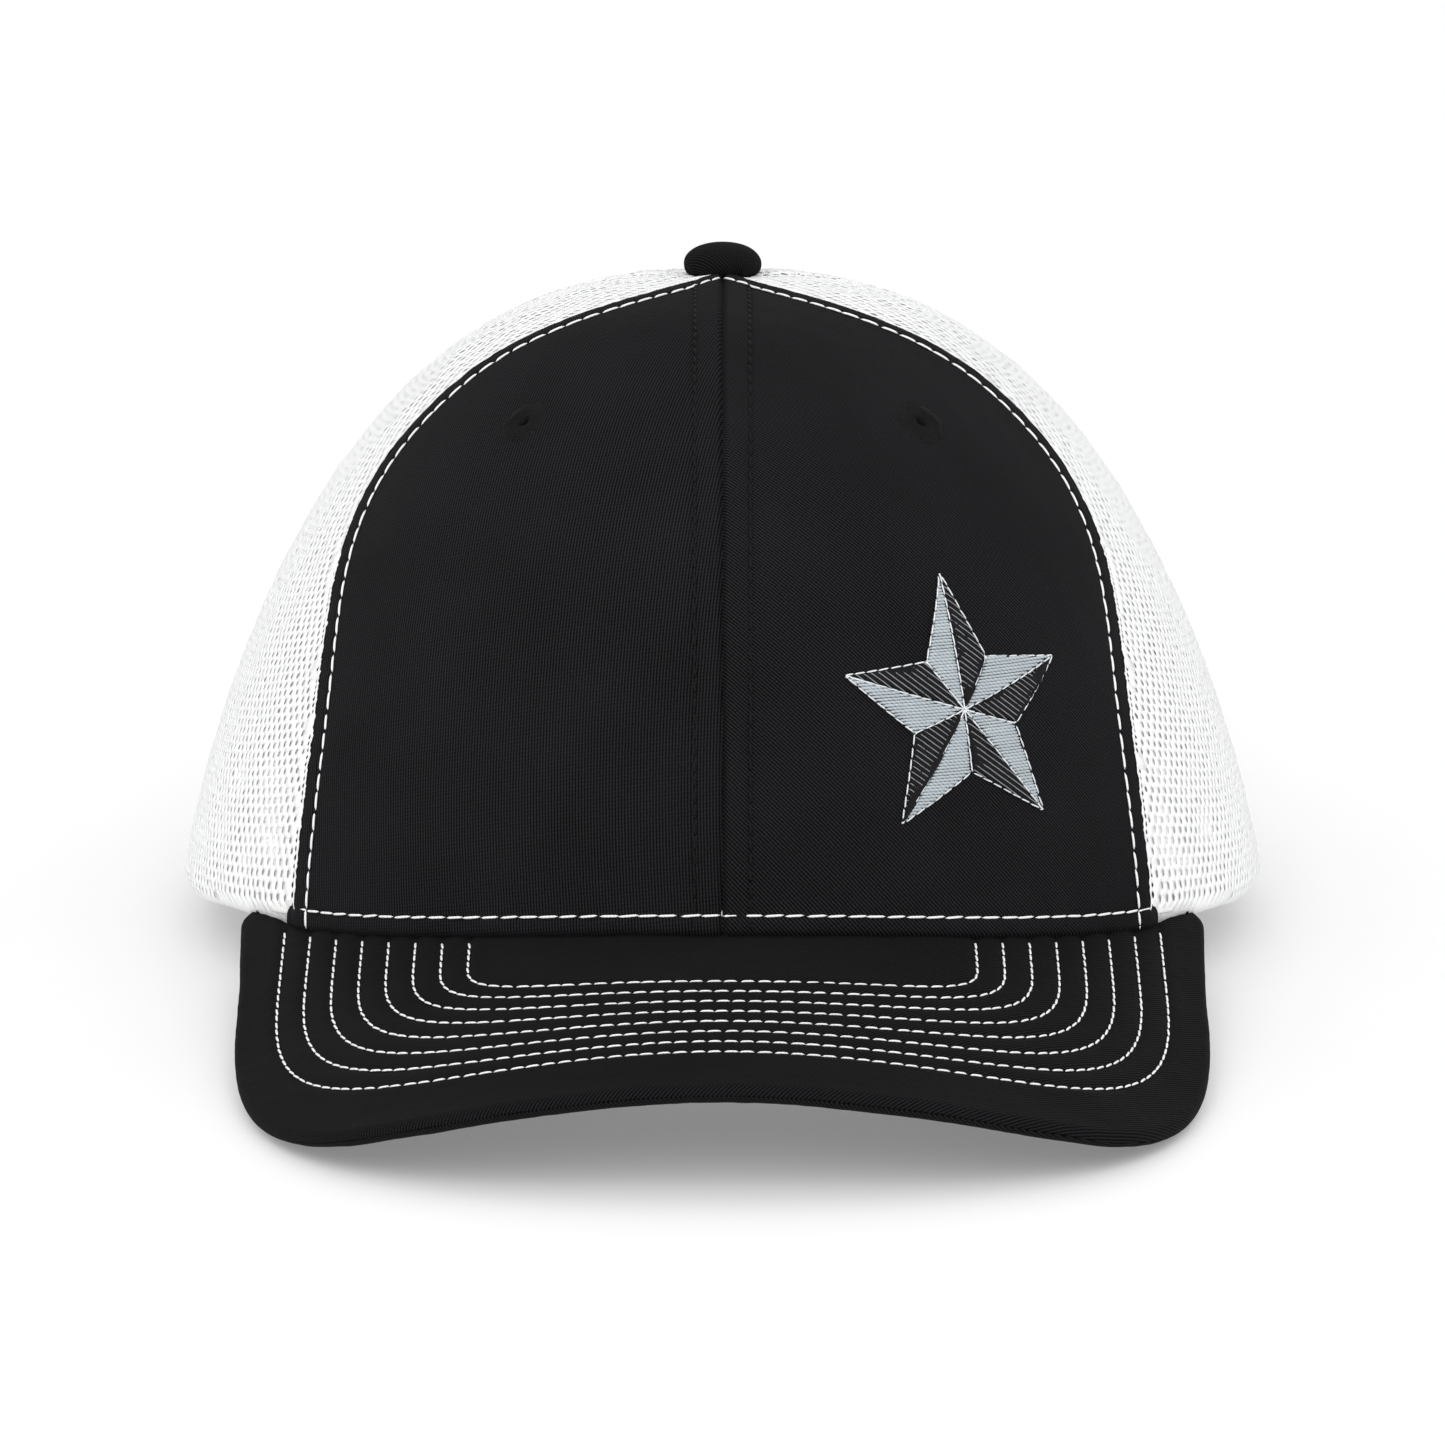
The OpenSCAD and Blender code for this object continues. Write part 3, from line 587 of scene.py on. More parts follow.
def stitches(paths, pitch, gap, seed, width, sink):
    """Points and faces of the separate stitches of a seam along paths, which are (points, normals)."""
    r = np.random.default_rng(seed)
    lines, ups = [], []
    t = np.linspace(0, 1, 7)
    for points, normals in paths:
        along = lengths_along(points)
        count = max(1, round(along[-1] / pitch))
        step = along[-1] / count
        start = (np.arange(count) + 0.5) * step - (step - gap) / 2 + r.normal(0, 0.04 * step, count)
        at = start[:, None] + t * (step - gap) * r.uniform(0.93, 1.05, (count, 1))
        line, up = read_at(at, along, points), unit(read_at(at, along, normals))
        side = np.cross(unit(np.gradient(line, axis=1)), up)
        lean = r.normal(0.2, 0.1, (count, 1)) * width * (1 - 2 * t)
        lift = 0.3 * width * np.sin(np.pi * t) ** 0.6 - sink
        lines.append(line + side * lean[..., None] + up * lift[:, None])
        ups.append(up)
    radius = 0.5 * width * (1 - np.abs(2 * t - 1) ** 5) ** 0.5 + 0.02
    return tubes(np.concatenate(lines), np.concatenate(ups), radius, flat=0.8)


# ---- Cloth cut to shape, with holes ----


def inside(points, outline):
    """Which points lie inside a closed outline."""
    a, b = outline, np.roll(outline, -1, 0)
    x, y = points[:, None, 0], points[:, None, 1]
    crosses = (a[:, 1] > y) != (b[:, 1] > y)
    with np.errstate(divide="ignore", invalid="ignore"):
        at = a[:, 0] + (y - a[:, 1]) * (b[:, 0] - a[:, 0]) / (b[:, 1] - a[:, 1])
    return (crosses & (x < at)).sum(1) % 2 == 1


def distance(points, path):
    """How far each point is from an open path."""
    a, d = path[:-1], np.diff(path, axis=0)
    best = np.full(len(points), np.inf)
    for part in np.array_split(np.arange(len(a)), max(1, len(a) // 40)):
        away = points[:, None] - a[part]
        t = np.clip((away * d[part]).sum(-1) / np.maximum((d[part] ** 2).sum(-1), 1e-9), 0, 1)
        best = np.minimum(best, np.linalg.norm(away - t[..., None] * d[part], axis=-1).min(1))
    return best


def cut_cloth(outline, holes):
    """Points and triangles of a flat cloth: outline is anticlockwise, holes is (hole, point, 2)."""
    count, sides = holes.shape[:2]
    first = len(outline)
    points = np.concatenate([outline, holes.reshape(-1, 2)])
    rings = first + np.arange(count * sides).reshape(count, sides)
    loops = [np.arange(first), *rings]
    edges = [(int(a), int(b)) for ring in loops for a, b in zip(ring, np.roll(ring, -1))]
    found = geometry.delaunay_2d_cdt([Vector(p) for p in points.tolist()], edges, [], 0, 1e-7, False)
    if len(found[0]) != len(points):
        raise ValueError("the outline or the holes cross")
    triangles = np.array(found[2])
    hole = np.concatenate([np.full(first, -1), np.repeat(np.arange(count), sides)])[triangles]
    in_hole = (hole[:, 0] >= 0) & (hole[:, 0] == hole[:, 1]) & (hole[:, 0] == hole[:, 2])
    triangles = triangles[~in_hole]
    on_edge = (triangles < first).all(1)
    keep = ~on_edge
    keep[on_edge] = inside(points[triangles[on_edge]].mean(1), outline)
    return points, triangles[keep]


def ellipses(centres, half_w, half_h, sides):
    """A ring of points round each centre: (centre, point, 2)."""
    turn = np.arange(sides) * 2 * np.pi / sides
    half_w, half_h = (np.broadcast_to(half, len(centres))[:, None] for half in (half_w, half_h))
    return centres[:, None] + np.stack([np.cos(turn) * half_w, np.sin(turn) * half_h], -1)


# ---- Mesh panels ----

KNIT_T, BAND_CLEAR, FOLD_W, FOLD_IN, LAP_LIFT = 0.2, 0.16, 3.2, 1.7, 0.55
HOLE_ACROSS, HOLE_UP, HOLE_HALF_W, HOLE_HALF_H, HOLE_SIDES = 1.95, 1.52, 0.46, 0.55, 8
HOLE_GROWTH, GROWTH_FROM, GROWTH_OVER, HOLE_JITTER = 1.3, 60.0, 60.0, 0.05
EDGE_SQUEEZE, SQUEEZE_OVER, SPREAD_W, SPREAD_H = 0.8, 5.0, (0.84, 1.1), (0.86, 1.1)
HOLES_FROM_LEFT, HOLES_FROM_BOTTOM, HOLES_FROM_RIGHT, HOLES_FROM_TOP = 1.8, 1.3, 1.6, 1.3
JAGGED_STEP, HEM_STEP, PRICK_PITCH = 0.42, 1.1, 1.2
PRICK_OUT, PRICK_HALF_W, PRICK_HALF_H = (-0.73, -0.67), (0.44, 0.56), (0.3, 0.46)
SEWN_DIP, SEWN_RISE_AT, SEWN_RISE = (0.7, 0.8), 2.2, (0.25, 1.3)
FRAY_OUT, FRAY_LOOP, FRAY_PITCH = 0.32, 0.14, 2.9


class Cloth:
    """The flat cloth of one mesh panel: x across from the panel's middle line, y up along it."""

    def __init__(self, middle):
        self.middle = middle
        self.u = np.linspace(0, TOP_ANGLE, 600)
        self.y = lengths_along(crown_face(middle, self.u))

    def lay(self, phi, u):
        return np.stack([(phi - self.middle) * mm_per_degree(u), np.interp(u, self.u, self.y)], -1)

    def sew(self, flat):
        u = np.interp(flat[:, 1], self.y, self.u)
        return self.middle + flat[:, 0] / mm_per_degree(u), u


def mesh_panel(name, middle, left, bottom, right, seed, mirror, jagged):
    """A knit panel with real holes. left, bottom and right are its edges as (phi, u), each read so that
    they go round it anticlockwise. A jagged left edge is the one that is sewn to black twill."""
    r = np.random.default_rng(seed)
    cloth = Cloth(middle)
    left = evenly(cloth.lay(*left), JAGGED_STEP)
    bottom, right = (evenly(cloth.lay(*edge), HEM_STEP) for edge in (bottom, right))
    outline = np.concatenate([bottom[:-1], right[:-1], left[:-1]])
    measure_flat(name, outline)
    low, high = outline.min(0) - 2, outline.max(0) + 2
    rows, cols = np.arange(low[1], high[1], HOLE_UP), np.arange(low[0], high[0], HOLE_ACROSS)
    centres = np.stack(np.meshgrid(cols, rows), -1)
    centres[1::2, :, 0] += HOLE_ACROSS / 2
    centres = centres.reshape(-1, 2) + r.normal(0, HOLE_JITTER, (centres.size // 2, 2))
    centres = centres[inside(centres, outline)]
    from_left, from_bottom, from_right = (distance(centres, edge) for edge in (left, bottom, right))
    keep = (from_left > HOLES_FROM_LEFT) & (from_right > HOLES_FROM_RIGHT)
    keep &= (from_bottom > HOLES_FROM_BOTTOM) & (centres[:, 1] < cloth.y[-1] - HOLES_FROM_TOP)
    centres, from_left = centres[keep], from_left[keep]
    growth = mix(1.0, HOLE_GROWTH, ease((centres[:, 1] - GROWTH_FROM) / GROWTH_OVER))
    squeeze = np.where(jagged, mix(EDGE_SQUEEZE, 1.0, ease(from_left / SQUEEZE_OVER)), 1.0)
    half_w = HOLE_HALF_W * growth * squeeze * r.uniform(*SPREAD_W, len(centres))
    half_h = HOLE_HALF_H * growth * r.uniform(*SPREAD_H, len(centres))
    holes = ellipses(centres, half_w, half_h, HOLE_SIDES)
    if jagged:
        outline = fray(outline, len(bottom) + len(right) - 2, r)
        pricks = evenly(left[8:-8], PRICK_PITCH)
        pricks = pricks + outwards(pricks) * r.uniform(*PRICK_OUT, (len(pricks), 1))
        pricks = pricks[ripples(pricks, 9, seed) + r.normal(0, 0.5, len(pricks)) > -0.5]
        half_w, half_h = (r.uniform(*half, len(pricks)) for half in (PRICK_HALF_W, PRICK_HALF_H))
        holes = np.concatenate([holes, ellipses(pricks, half_w, half_h, HOLE_SIDES)])
    flat, triangles = cut_cloth(outline, holes)
    phi, u = cloth.sew(flat)
    from_left, from_bottom, from_right = (distance(flat, edge) for edge in (left, bottom, right))
    to_seam = from_right if jagged else np.minimum(from_left, from_right)
    across = flat[:, 0] - np.interp(flat[:, 1], left[::-1, 1], left[::-1, 0])
    lap = ease(0.6 - across / 2) if jagged else 0 * across
    wall = crown_face(phi, u)
    pucker = 0.10 + 0.22 * np.exp(-to_seam / 5) + 0.15 * np.exp(-from_bottom / 6)
    pucker *= 1 - 0.7 * np.exp(-from_left / 4) * jagged
    proud = pucker * ripples(wall, 11, seed) + 0.05 * ripples(wall, 3.0, seed + 1)
    proud += dip(to_seam, *SEWN_DIP) - dip(to_seam - SEWN_RISE_AT, *SEWN_RISE) + LAP_LIFT * lap
    proud -= FOLD_IN * (1 - np.sqrt(1 - np.clip(1 - from_bottom / FOLD_W, 0, 1) ** 2))
    normal = crown_normal(phi, u)
    top = wall + proud[:, None] * normal
    points, faces = thicken(top, top - (KNIT_T - 0.04 * lap)[:, None] * normal, [triangles])
    return build(name, points, faces, WHITE_MESH, np.concatenate([flat, flat]), mirror)


def fray(outline, start, r):
    """Moves the points of the outline from start on outwards, over the black edge, in uneven loops."""
    edge = outline[start:]
    along = np.arange(len(edge)) * JAGGED_STEP
    loops = FRAY_LOOP * np.sin(along * 2 * np.pi / FRAY_PITCH + 1.5 * np.sin(along / 5))
    loops += r.uniform(-FRAY_LOOP, 0.3, len(edge))
    return np.concatenate([outline[:start], edge + outwards(edge) * (FRAY_OUT + loops)[:, None]])


def side_panel(side, mirror, seed):
    base = np.linspace(SEAM_BASE, SIDE_SEAM, 80)
    start = angle_at(base, foot(base))
    down = np.linspace(TOP_ANGLE, start[0], 200)
    up = np.linspace(start[-1], TOP_ANGLE, 200)
    return mesh_panel(
        f"side_mesh_{side}_knit", SIDE_MIDDLE,
        (front_seam(down), down), (base, start), (SIDE_SEAM + 0 * up, up), seed, mirror, jagged=True,
    )


def rear_panel(side, mirror, seed):
    base = np.linspace(SIDE_SEAM, float(back_azimuth(OPENING_HALF_W, 0.0)), 40)
    turn = np.linspace(0, 90, 60)
    x, z = OPENING_HALF_W * cos(turn), OPENING_H * sin(turn)
    arch = back_azimuth(x, z)
    bottom = (
        np.concatenate([base, arch[1:]]),
        np.concatenate([angle_at(base, foot(base)), angle_at(arch, z)[1:]]),
    )
    up = np.linspace(bottom[1][-1], TOP_ANGLE, 160)
    down = np.linspace(TOP_ANGLE, bottom[1][0], 200)
    return mesh_panel(
        f"rear_mesh_{side}_knit", REAR_MIDDLE,
        (SIDE_SEAM + 0 * down, down), bottom, (180 + 0 * up, up), seed, mirror, jagged=False,
    )


# ---- Front panels and what lies behind them ----

# Beside each seam: the ridge's height, how far it goes past the stitching and how soft it ends, and the
# depth and half-width of the stitching's groove.
CENTRE_RIDGE, EDGE_RIDGE, BASE_RIDGE = (0.32, 0.5, 0.9), (0.38, 0.6, 0.8), (0.25, 0.4, 0.8)
CENTRE_ROW, EDGE_ROW, BASE_ROW = (0.22, 0.55), (0.3, 0.45), (0.28, 0.5)
CENTRE_SEAM, EDGE_SEAM = (0.95, 0.55), (0.3, 0.8)
EDGE_TUCK, FOOT_TUCK, TUCK_OVER, RIPPLE_FADE = 0.68, 1.3, 1.6, 9.0
EDGE_DRAW, DRAW_PITCH, FOOT_PUCKER = 0.1, 2.75, 0.1


def front_grid(cols, rows, short=0.0, low=0.0, top=TOP_ANGLE):
    """Azimuths and angles of a grid over a front panel, which stops short of the side seam (or runs on
    under the knit, if that is negative) and starts low above the crown's foot."""
    across = np.linspace(0, 1, cols)
    across = 0.5 - 0.5 * np.cos(np.pi * across) * np.abs(np.cos(np.pi * across)) ** 0.3
    base = SEAM_BASE * across
    start = angle_at(base, foot(base) + low)
    share = np.linspace(0, 1, rows) ** 1.15
    u = mix(start[:, None], top, share)
    end = front_seam(u) - (EDGE_GAP + short) / mm_per_degree(u)
    return mix(0.04 / mm_per_degree(u), end, across[:, None]), u


def clear_of_eyelet(points):
    return np.linalg.norm(points - crown_face(EYELET_PHI, EYELET_U), axis=-1) > EYELET_CUT_R


def ridge(away, row, height, past, soft):
    """The rise of the folded cloth beside a seam, to a little past its row of stitching."""
    return height * ease((row + past - away) / soft)


def front_panel(side, mirror, seed):
    phi, u = front_grid(150, 170, short=-2.0, low=-0.7)
    wall = crown_face(phi, u)
    from_centre = phi * mm_per_degree(u)
    from_edge = (front_seam(u) - phi) * mm_per_degree(u)
    from_foot = wall[..., 2] - foot(np.minimum(phi, SEAM_BASE + 3))
    proud = 0.16 * ripples(wall, 34, seed) + 0.04 * ripples(wall, 9, seed + 1)
    proud *= ease(from_edge / RIPPLE_FADE)
    for away, row, rise, groove in (
        (from_centre, CENTRE_STITCH, CENTRE_RIDGE, CENTRE_ROW),
        (from_edge, EDGE_STITCH, EDGE_RIDGE, EDGE_ROW),
        (from_foot, BASE_STITCH, BASE_RIDGE, BASE_ROW),
    ):
        proud += ridge(away, row, *rise) + dip(away - row, *groove)
    proud += dip(from_centre, *CENTRE_SEAM) + dip(from_edge, *EDGE_SEAM)
    proud -= EDGE_TUCK * ease((0.2 - from_edge) / TUCK_OVER)
    proud -= FOOT_TUCK * ease((0.9 - from_foot) / TUCK_OVER) ** 2
    proud -= dip(from_edge - EDGE_STITCH, EDGE_DRAW, 1.6) * np.sin(wall[..., 2] * 2 * np.pi / DRAW_PITCH)
    proud -= dip(from_foot, FOOT_PUCKER, 7) * ripples(wall, 6, seed + 2)
    top = wall + proud[..., None] * crown_normal(phi, u)
    return sheet_piece(
        f"front_panel_{side}_twill", top, TWILL_T, BLACK_TWILL, Cloth(FRONT_MIDDLE).lay(phi, u),
        keep=clear_of_eyelet, mirror=mirror, grain=RIGHT_GRAIN if mirror else 0.0,
    )


def buckram(side, mirror, seed):
    phi, u = front_grid(60, 70, short=3.0, low=1.0, top=87.0)
    wall = crown_face(phi, u)
    top = wall + (0.05 * ripples(wall, 20, seed) - BUCKRAM_AT - 0.2)[..., None] * crown_normal(phi, u)
    return sheet_piece(
        f"buckram_{side}_cloth", top, BUCKRAM_T - 0.2, BUCKRAM, Cloth(FRONT_MIDDLE).lay(phi, u),
        keep=clear_of_eyelet, mirror=mirror,
    )


def seam_tape(name, seam, from_u, to_u, seed, mirror, mesh):
    """A folded tape over a seam inside the crown, with a row of sewing near each edge. It lies close under
    the cloth on the sides of the seam where mesh is 1."""
    up = np.linspace(from_u, to_u, 150)
    w, u = np.meshgrid(np.linspace(-TAPE_W / 2, TAPE_W / 2, 21), up, indexing="ij")
    phi = seam(u) + w / mm_per_degree(u)
    wall, normal = crown_face(phi, u), crown_normal(phi, u)
    puff = 0.25 * np.cos(np.pi * w / CENTRE_STITCH) * (np.abs(w) < 7) + 0.08 * ripples(wall, 7, seed)
    beyond = np.where(w > 0, mesh[1], mesh[0]) * (1 - ease((3.4 - np.abs(w)) / 1.4))
    top = wall - (TAPE_AT + 0.2 - 0.12 * puff - (TAPE_AT - 0.22) * beyond)[..., None] * normal
    thick = TAPE_T - 0.1 + 0.15 * np.clip(puff, -1, 1) + 0.2 * (2 * np.abs(w) / TAPE_W) ** 6
    inner = top - thick[..., None] * normal
    faces = [grid(*w.shape)]
    points, made = thicken(top.reshape(-1, 3), inner.reshape(-1, 3), faces, 0.15)
    flat = np.stack([w, Cloth(SIDE_MIDDLE).lay(phi, u)[..., 1]], -1).reshape(-1, 2)
    flat = np.concatenate([flat, flat, flat[edge_of(faces, len(flat))[0]]])
    measure_strip(name, TAPE_W, crown_face(seam(up), up))
    return build(name, points, made, WHITE_TAPE, flat, mirror)


# ---- Visor ----

ROW_PITCH, ROW_SINK, ROW_GROOVE, VISOR_ROLL, COVER_REACH = 4.45, 0.2, (0.34, 0.6), 1.47, 0.965


def row_plan(f):
    """One row of stitching seen from above: f is 0 for the innermost and 1 for the outermost."""
    w, s, end, power = (mix(ROW_IN[k], ROW_OUT[k], f) for k in ("w", "s", "end", "power"))
    x, along = rounded_u(w, end, s, power, np.linspace(0, 1, 90))
    down = np.linspace(seam_s(w) + 1, end, 8)[:-1]
    return np.concatenate([w + 0 * down, x, -w + 0 * down]), np.concatenate([down, along, down[::-1]])


def row_of(x, s):
    """Which row of stitching goes through a point of the visor, counted from 0, between rows too."""
    low, high = np.full(x.shape, -1.0), np.full(x.shape, 2.0)
    for _ in range(24):
        f = (low + high) / 2
        w, front, end, power = (mix(ROW_IN[k], ROW_OUT[k], f) for k in ("w", "s", "end", "power"))
        power = np.maximum(power, 1.1)
        reach = np.maximum(s - end, 0) / np.maximum(front - end, 1)
        outside = (np.abs(x) / np.maximum(w, 1)) ** power + reach**OUTLINE_S > 1
        low, high = np.where(outside, f, low), np.where(outside, high, f)
    return f * (VISOR_ROWS - 1)


def visor_outline(inset, count):
    """Points of the visor's edge seen from above, from its +X end to its -X end, and their way out."""
    x, s = rounded_u(VISOR_HALF_W - inset, SIDE_END, VISOR_LEN - inset, OUTLINE_X, np.linspace(0, 1, 400))
    end_x = VISOR_HALF_W + SIDE_TAPER * SIDE_REACH - inset
    end_s = seam_s(end_x + inset)
    corner = np.array([[end_x - 2.4, end_s - 0.2], [end_x - 1.1, end_s + 0.5], [end_x - 0.2, end_s + 1.9]])
    side = np.concatenate([corner, np.linspace([end_x, end_s + 3.5], [x[0], s[0]], 20)[:-1]])
    path = resample(np.concatenate([side, np.stack([x, s], 1), side[::-1] * [-1, 1]]), count)
    return path, outwards(path)


def visor_cover(name, under, seed):
    """One of the visor's two cloth covers, rolled round the board to the seam on its edge."""
    cols, rows = 300, 92
    edge, out = visor_outline(VISOR_ROLL, cols)
    turn = np.linspace(COVER_REACH, -COVER_REACH, cols) * VISOR_END_PHI
    half_w, front = CROWN_HALF_W - SEAM_ALLOWANCE, CROWN_FRONT - SEAM_ALLOWANCE
    inner = np.stack([half_w * sin(turn), front * cos(turn) - CROWN_FRONT], 1)
    flat = mix(inner[:, None], edge[:, None], np.linspace(0, 1, rows)[:, None])
    roll = np.linspace(12, 88, 9)
    plan, cloth = (
        np.concatenate([flat, edge[:, None] + out[:, None] * VISOR_ROLL * reach[:, None]], 1)
        for reach in (sin(roll), np.radians(roll))
    )
    below = np.concatenate([np.zeros(rows), VISOR_ROLL * (1 - cos(roll))])
    x, s = plan[..., 0], plan[..., 1]
    row = row_of(x, s)
    nearest = np.clip(np.round(row), 0, VISOR_ROWS - 1)
    sewn = (row > -0.5) & (row < VISOR_ROWS - 0.5)
    proud = dip((row - nearest) * ROW_PITCH, *ROW_GROOVE) - 0.1 * np.where(sewn, np.cos(2 * np.pi * row), 0)
    rim = np.clip(np.linalg.norm(plan - edge[:, None], axis=-1) / 3, 0, 1)
    place = visor_at(x, s)
    proud = proud + 0.12 * (1 - rim) + 0.07 * ripples(place, 16, seed) + 0.03 * ripples(place, 4, seed + 1)
    normal = visor_normal(x, s)
    if under:
        top = place + (below - VISOR_T - proud)[..., None] * normal
        top, cloth = top[::-1], cloth[::-1]
    else:
        top = place + (proud - below)[..., None] * normal
    # The covers take the darker copy of the black twill: painted shade.
    return sheet_piece(name, top, COVER_T, VISOR_SHADED_TWILL, cloth, 0.1)


# ---- Stitching ----


def visor_paths(under):
    for k in range(VISOR_ROWS):
        x, s = row_plan(k / (VISOR_ROWS - 1))
        normal = visor_normal(x, s)
        depth = VISOR_T - ROW_SINK if under else ROW_SINK
        yield visor_at(x, s) - normal * depth, -normal if under else normal


def wall_path(phi, u, proud):
    return crown(phi, u, proud + 0 * u), crown_normal(phi, u)


def mirrored(path):
    return path[0] * [-1, 1, 1], path[1] * [-1, 1, 1]


def edge_path():
    u = np.linspace(angle_at(SEAM_BASE, foot(SEAM_BASE) - 0.2), 88.6, 240)
    phi = front_seam(u) - EDGE_STITCH / mm_per_degree(u)
    phi, u = phi[phi > 0], u[phi > 0]
    return wall_path(phi, u, 0.12 + ridge(phi * mm_per_degree(u), CENTRE_STITCH, *CENTRE_RIDGE))


def base_path():
    reach = SEAM_BASE + 0.4
    phi = np.linspace(-reach, reach, 160)
    return wall_path(phi, angle_at(phi, foot(phi) + BASE_STITCH), 0.1)


def seam_paths(phi, w, from_z, to_u):
    """Two rows of stitching, w to each side of a seam that runs straight up from a height."""
    u = np.linspace(float(angle_at(phi, from_z)), to_u, 240)
    return [wall_path(phi + side * w / mm_per_degree(u), u, 0.2) for side in (-1, 1)]


def sew(name, node, paths, pitch, gap, seed, width, sink=0.12, finish=WHITE_THREAD):
    """The stitches of some seams as one piece, which stands for a CAD node unless that is None."""
    points, faces = stitches(paths, pitch, gap, seed, width, sink)
    rows = build(name, points, faces, finish)
    if node:
        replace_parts(rows, node)


# ---- Eyelets ----


def eyelet(side, mirror, seed):
    """A sewn eyelet: threads that run from its hole outwards, close beside each other."""
    r = np.random.default_rng(seed)
    threads, per_thread = 46, 4
    turn = np.linspace(0, 2 * np.pi, threads * per_thread, endpoint=False)
    ridge = np.abs(np.cos(turn * threads / 2)) ** 0.6
    reach = np.repeat(r.uniform(-0.38, 0.22, threads), per_thread)
    centre, normal = crown(EYELET_PHI, EYELET_U), crown_normal(EYELET_PHI, EYELET_U)
    across = unit(np.cross([0, 0, 1], normal))
    up = np.cross(normal, across)
    t = np.linspace(0, 1, 12)
    radius = mix(EYELET_HOLE_R - 0.2, EYELET_R + reach[:, None], t)
    height = (0.85 * np.sin(np.pi * t**0.7) ** 0.7 - 0.3)[None] + 0.3 * ridge[:, None] * np.sin(np.pi * t)
    around = np.ones((len(turn), 1))
    # The threads run down the hole's wall, as real overcast stitches do, then close it to a pinhole at its
    # bottom. That black bottom is painted shade: it stands in for the dim inside of the crown seen through
    # the hole.
    shade_cup = np.array([[3.4, -0.6], [2.6, -1.9], [0.3, -2.1], [0.15, -1.9], [0.5, -1.2]]).T
    radius = np.concatenate([radius, around * shade_cup[0]], 1)
    height = np.concatenate([height, around * shade_cup[1]], 1)
    way = np.cos(turn)[:, None] * across + np.sin(turn)[:, None] * up
    points = centre + radius[..., None] * way[:, None] + height[..., None] * normal
    rows, cols = points.shape[:2]
    faces = grid(rows + 1, cols, True) % (rows * cols)
    name = f"eyelet_{side}_threads"
    return build(name, points, [faces[:, ::-1]], BLACK_THREAD, mirror=mirror)


# ---- Star ----

STAR_THREAD, STAR_STITCH, STAR_INSET, LINE_POINTS = 0.5, 3.6, 0.12, 15


def star_at(p):
    """Points and normals on the wall for places across and up from the star's middle."""
    phi = STAR_PHI + p[..., 0] / mm_per_degree(angle_at(STAR_PHI, STAR_Z))
    u = angle_at(phi, STAR_Z + p[..., 1])
    return crown_face(phi, u), crown_normal(phi, u)


def star_halves(side):
    """The corners of one half of each point: middle, tip and waist."""
    half = 180 / STAR_POINTS
    for k in range(STAR_POINTS):
        a = 90 + 2 * half * k
        tip = STAR_R * np.array([cos(a), sin(a)])
        waist = STAR_WAIST * STAR_R * np.array([cos(a + side * half), sin(a + side * half)])
        yield np.array([[0.0, 0.0], tip, waist])


def fill_lines(corners, angle, pitch, r):
    """Parallel lines across a triangle, a little uneven at their ends."""
    way, step = np.array([cos(angle), sin(angle)]), np.array([-sin(angle), cos(angle)])
    level = corners @ step
    for at in np.arange(level.min() + pitch / 2, level.max(), pitch):
        ends = []
        for a, b in zip(range(3), (1, 2, 0)):
            if (level[a] - at) * (level[b] - at) < 0:
                t = (at - level[a]) / (level[b] - level[a])
                ends.append(mix(corners[a], corners[b], t) @ way)
        if len(ends) == 2 and abs(ends[0] - ends[1]) > 2.5 * STAR_INSET:
            low = min(ends) + STAR_INSET + r.uniform(-STAR_INSET, STAR_INSET)
            high = max(ends) - STAR_INSET + r.uniform(-STAR_INSET, STAR_INSET)
            yield np.linspace(low, high, LINE_POINTS)[:, None] * way + at * step


def embroidery(name, side, angle, seed, finish, pitch=STAR_THREAD, lift=0.0, width=0.27):
    """Flat threads side by side over the halves of the star, each pulled down where a stitch ends."""
    r = np.random.default_rng(seed)
    lines = [line for half in star_halves(side) for line in fill_lines(half, angle, pitch, r)]
    lines = np.array(lines)
    points, normals = star_at(lines)
    length = np.linalg.norm(lines[:, -1] - lines[:, 0], axis=1)[:, None]
    t = np.linspace(0, 1, LINE_POINTS)
    along = t * length + r.uniform(0, STAR_STITCH, (len(lines), 1))
    pull = 0.1 * np.abs(np.sin(np.pi * along / STAR_STITCH)) ** 0.4 - 0.1
    dome = STAR_T * 0.75 * (1 - (2 * t - 1) ** 6) ** 0.5
    points = points + (dome * np.minimum(length / 3, 1) + pull + lift)[..., None] * normals
    radius = width * (0.6 + 0.4 * (1 - (2 * t - 1) ** 8)) * r.uniform(0.85, 1.08, (len(lines), 1))
    shape, faces = tubes(points, normals, radius, flat=0.7)
    return build(name, shape, faces, finish)


def star_outline():
    """Running stitches round the halves of the star."""
    paths = []
    for corners in [*star_halves(1), *star_halves(-1)]:
        points, normals = star_at(evenly(np.concatenate([corners, corners[:1]]), 0.7))
        paths.append((points + normals * 0.4, normals))
    points, faces = stitches(paths, 2.1, 0.12, 424, 0.24, 0.05)
    return build("star_outline", points, faces, PALE_THREAD)


# ---- Button ----


def lathe(profile, turns, wobble=None):
    """Points and faces of a solid of revolution about z: profile is (radius, height), from the bottom."""
    turn = np.linspace(0, 2 * np.pi, turns, endpoint=False)[:, None]
    radius = profile[:, 0] * (1 if wobble is None else 1 + wobble(turn, profile[:, 1]))
    points = np.stack([radius * np.cos(turn), radius * np.sin(turn), profile[:, 1] + 0 * turn], -1)
    rows, cols = points.shape[:2]
    faces = grid(rows + 1, cols)
    i = np.arange(rows) * cols
    return points.reshape(-1, 3), [faces % (rows * cols), i[None, ::-1], (i + cols - 1)[None]]


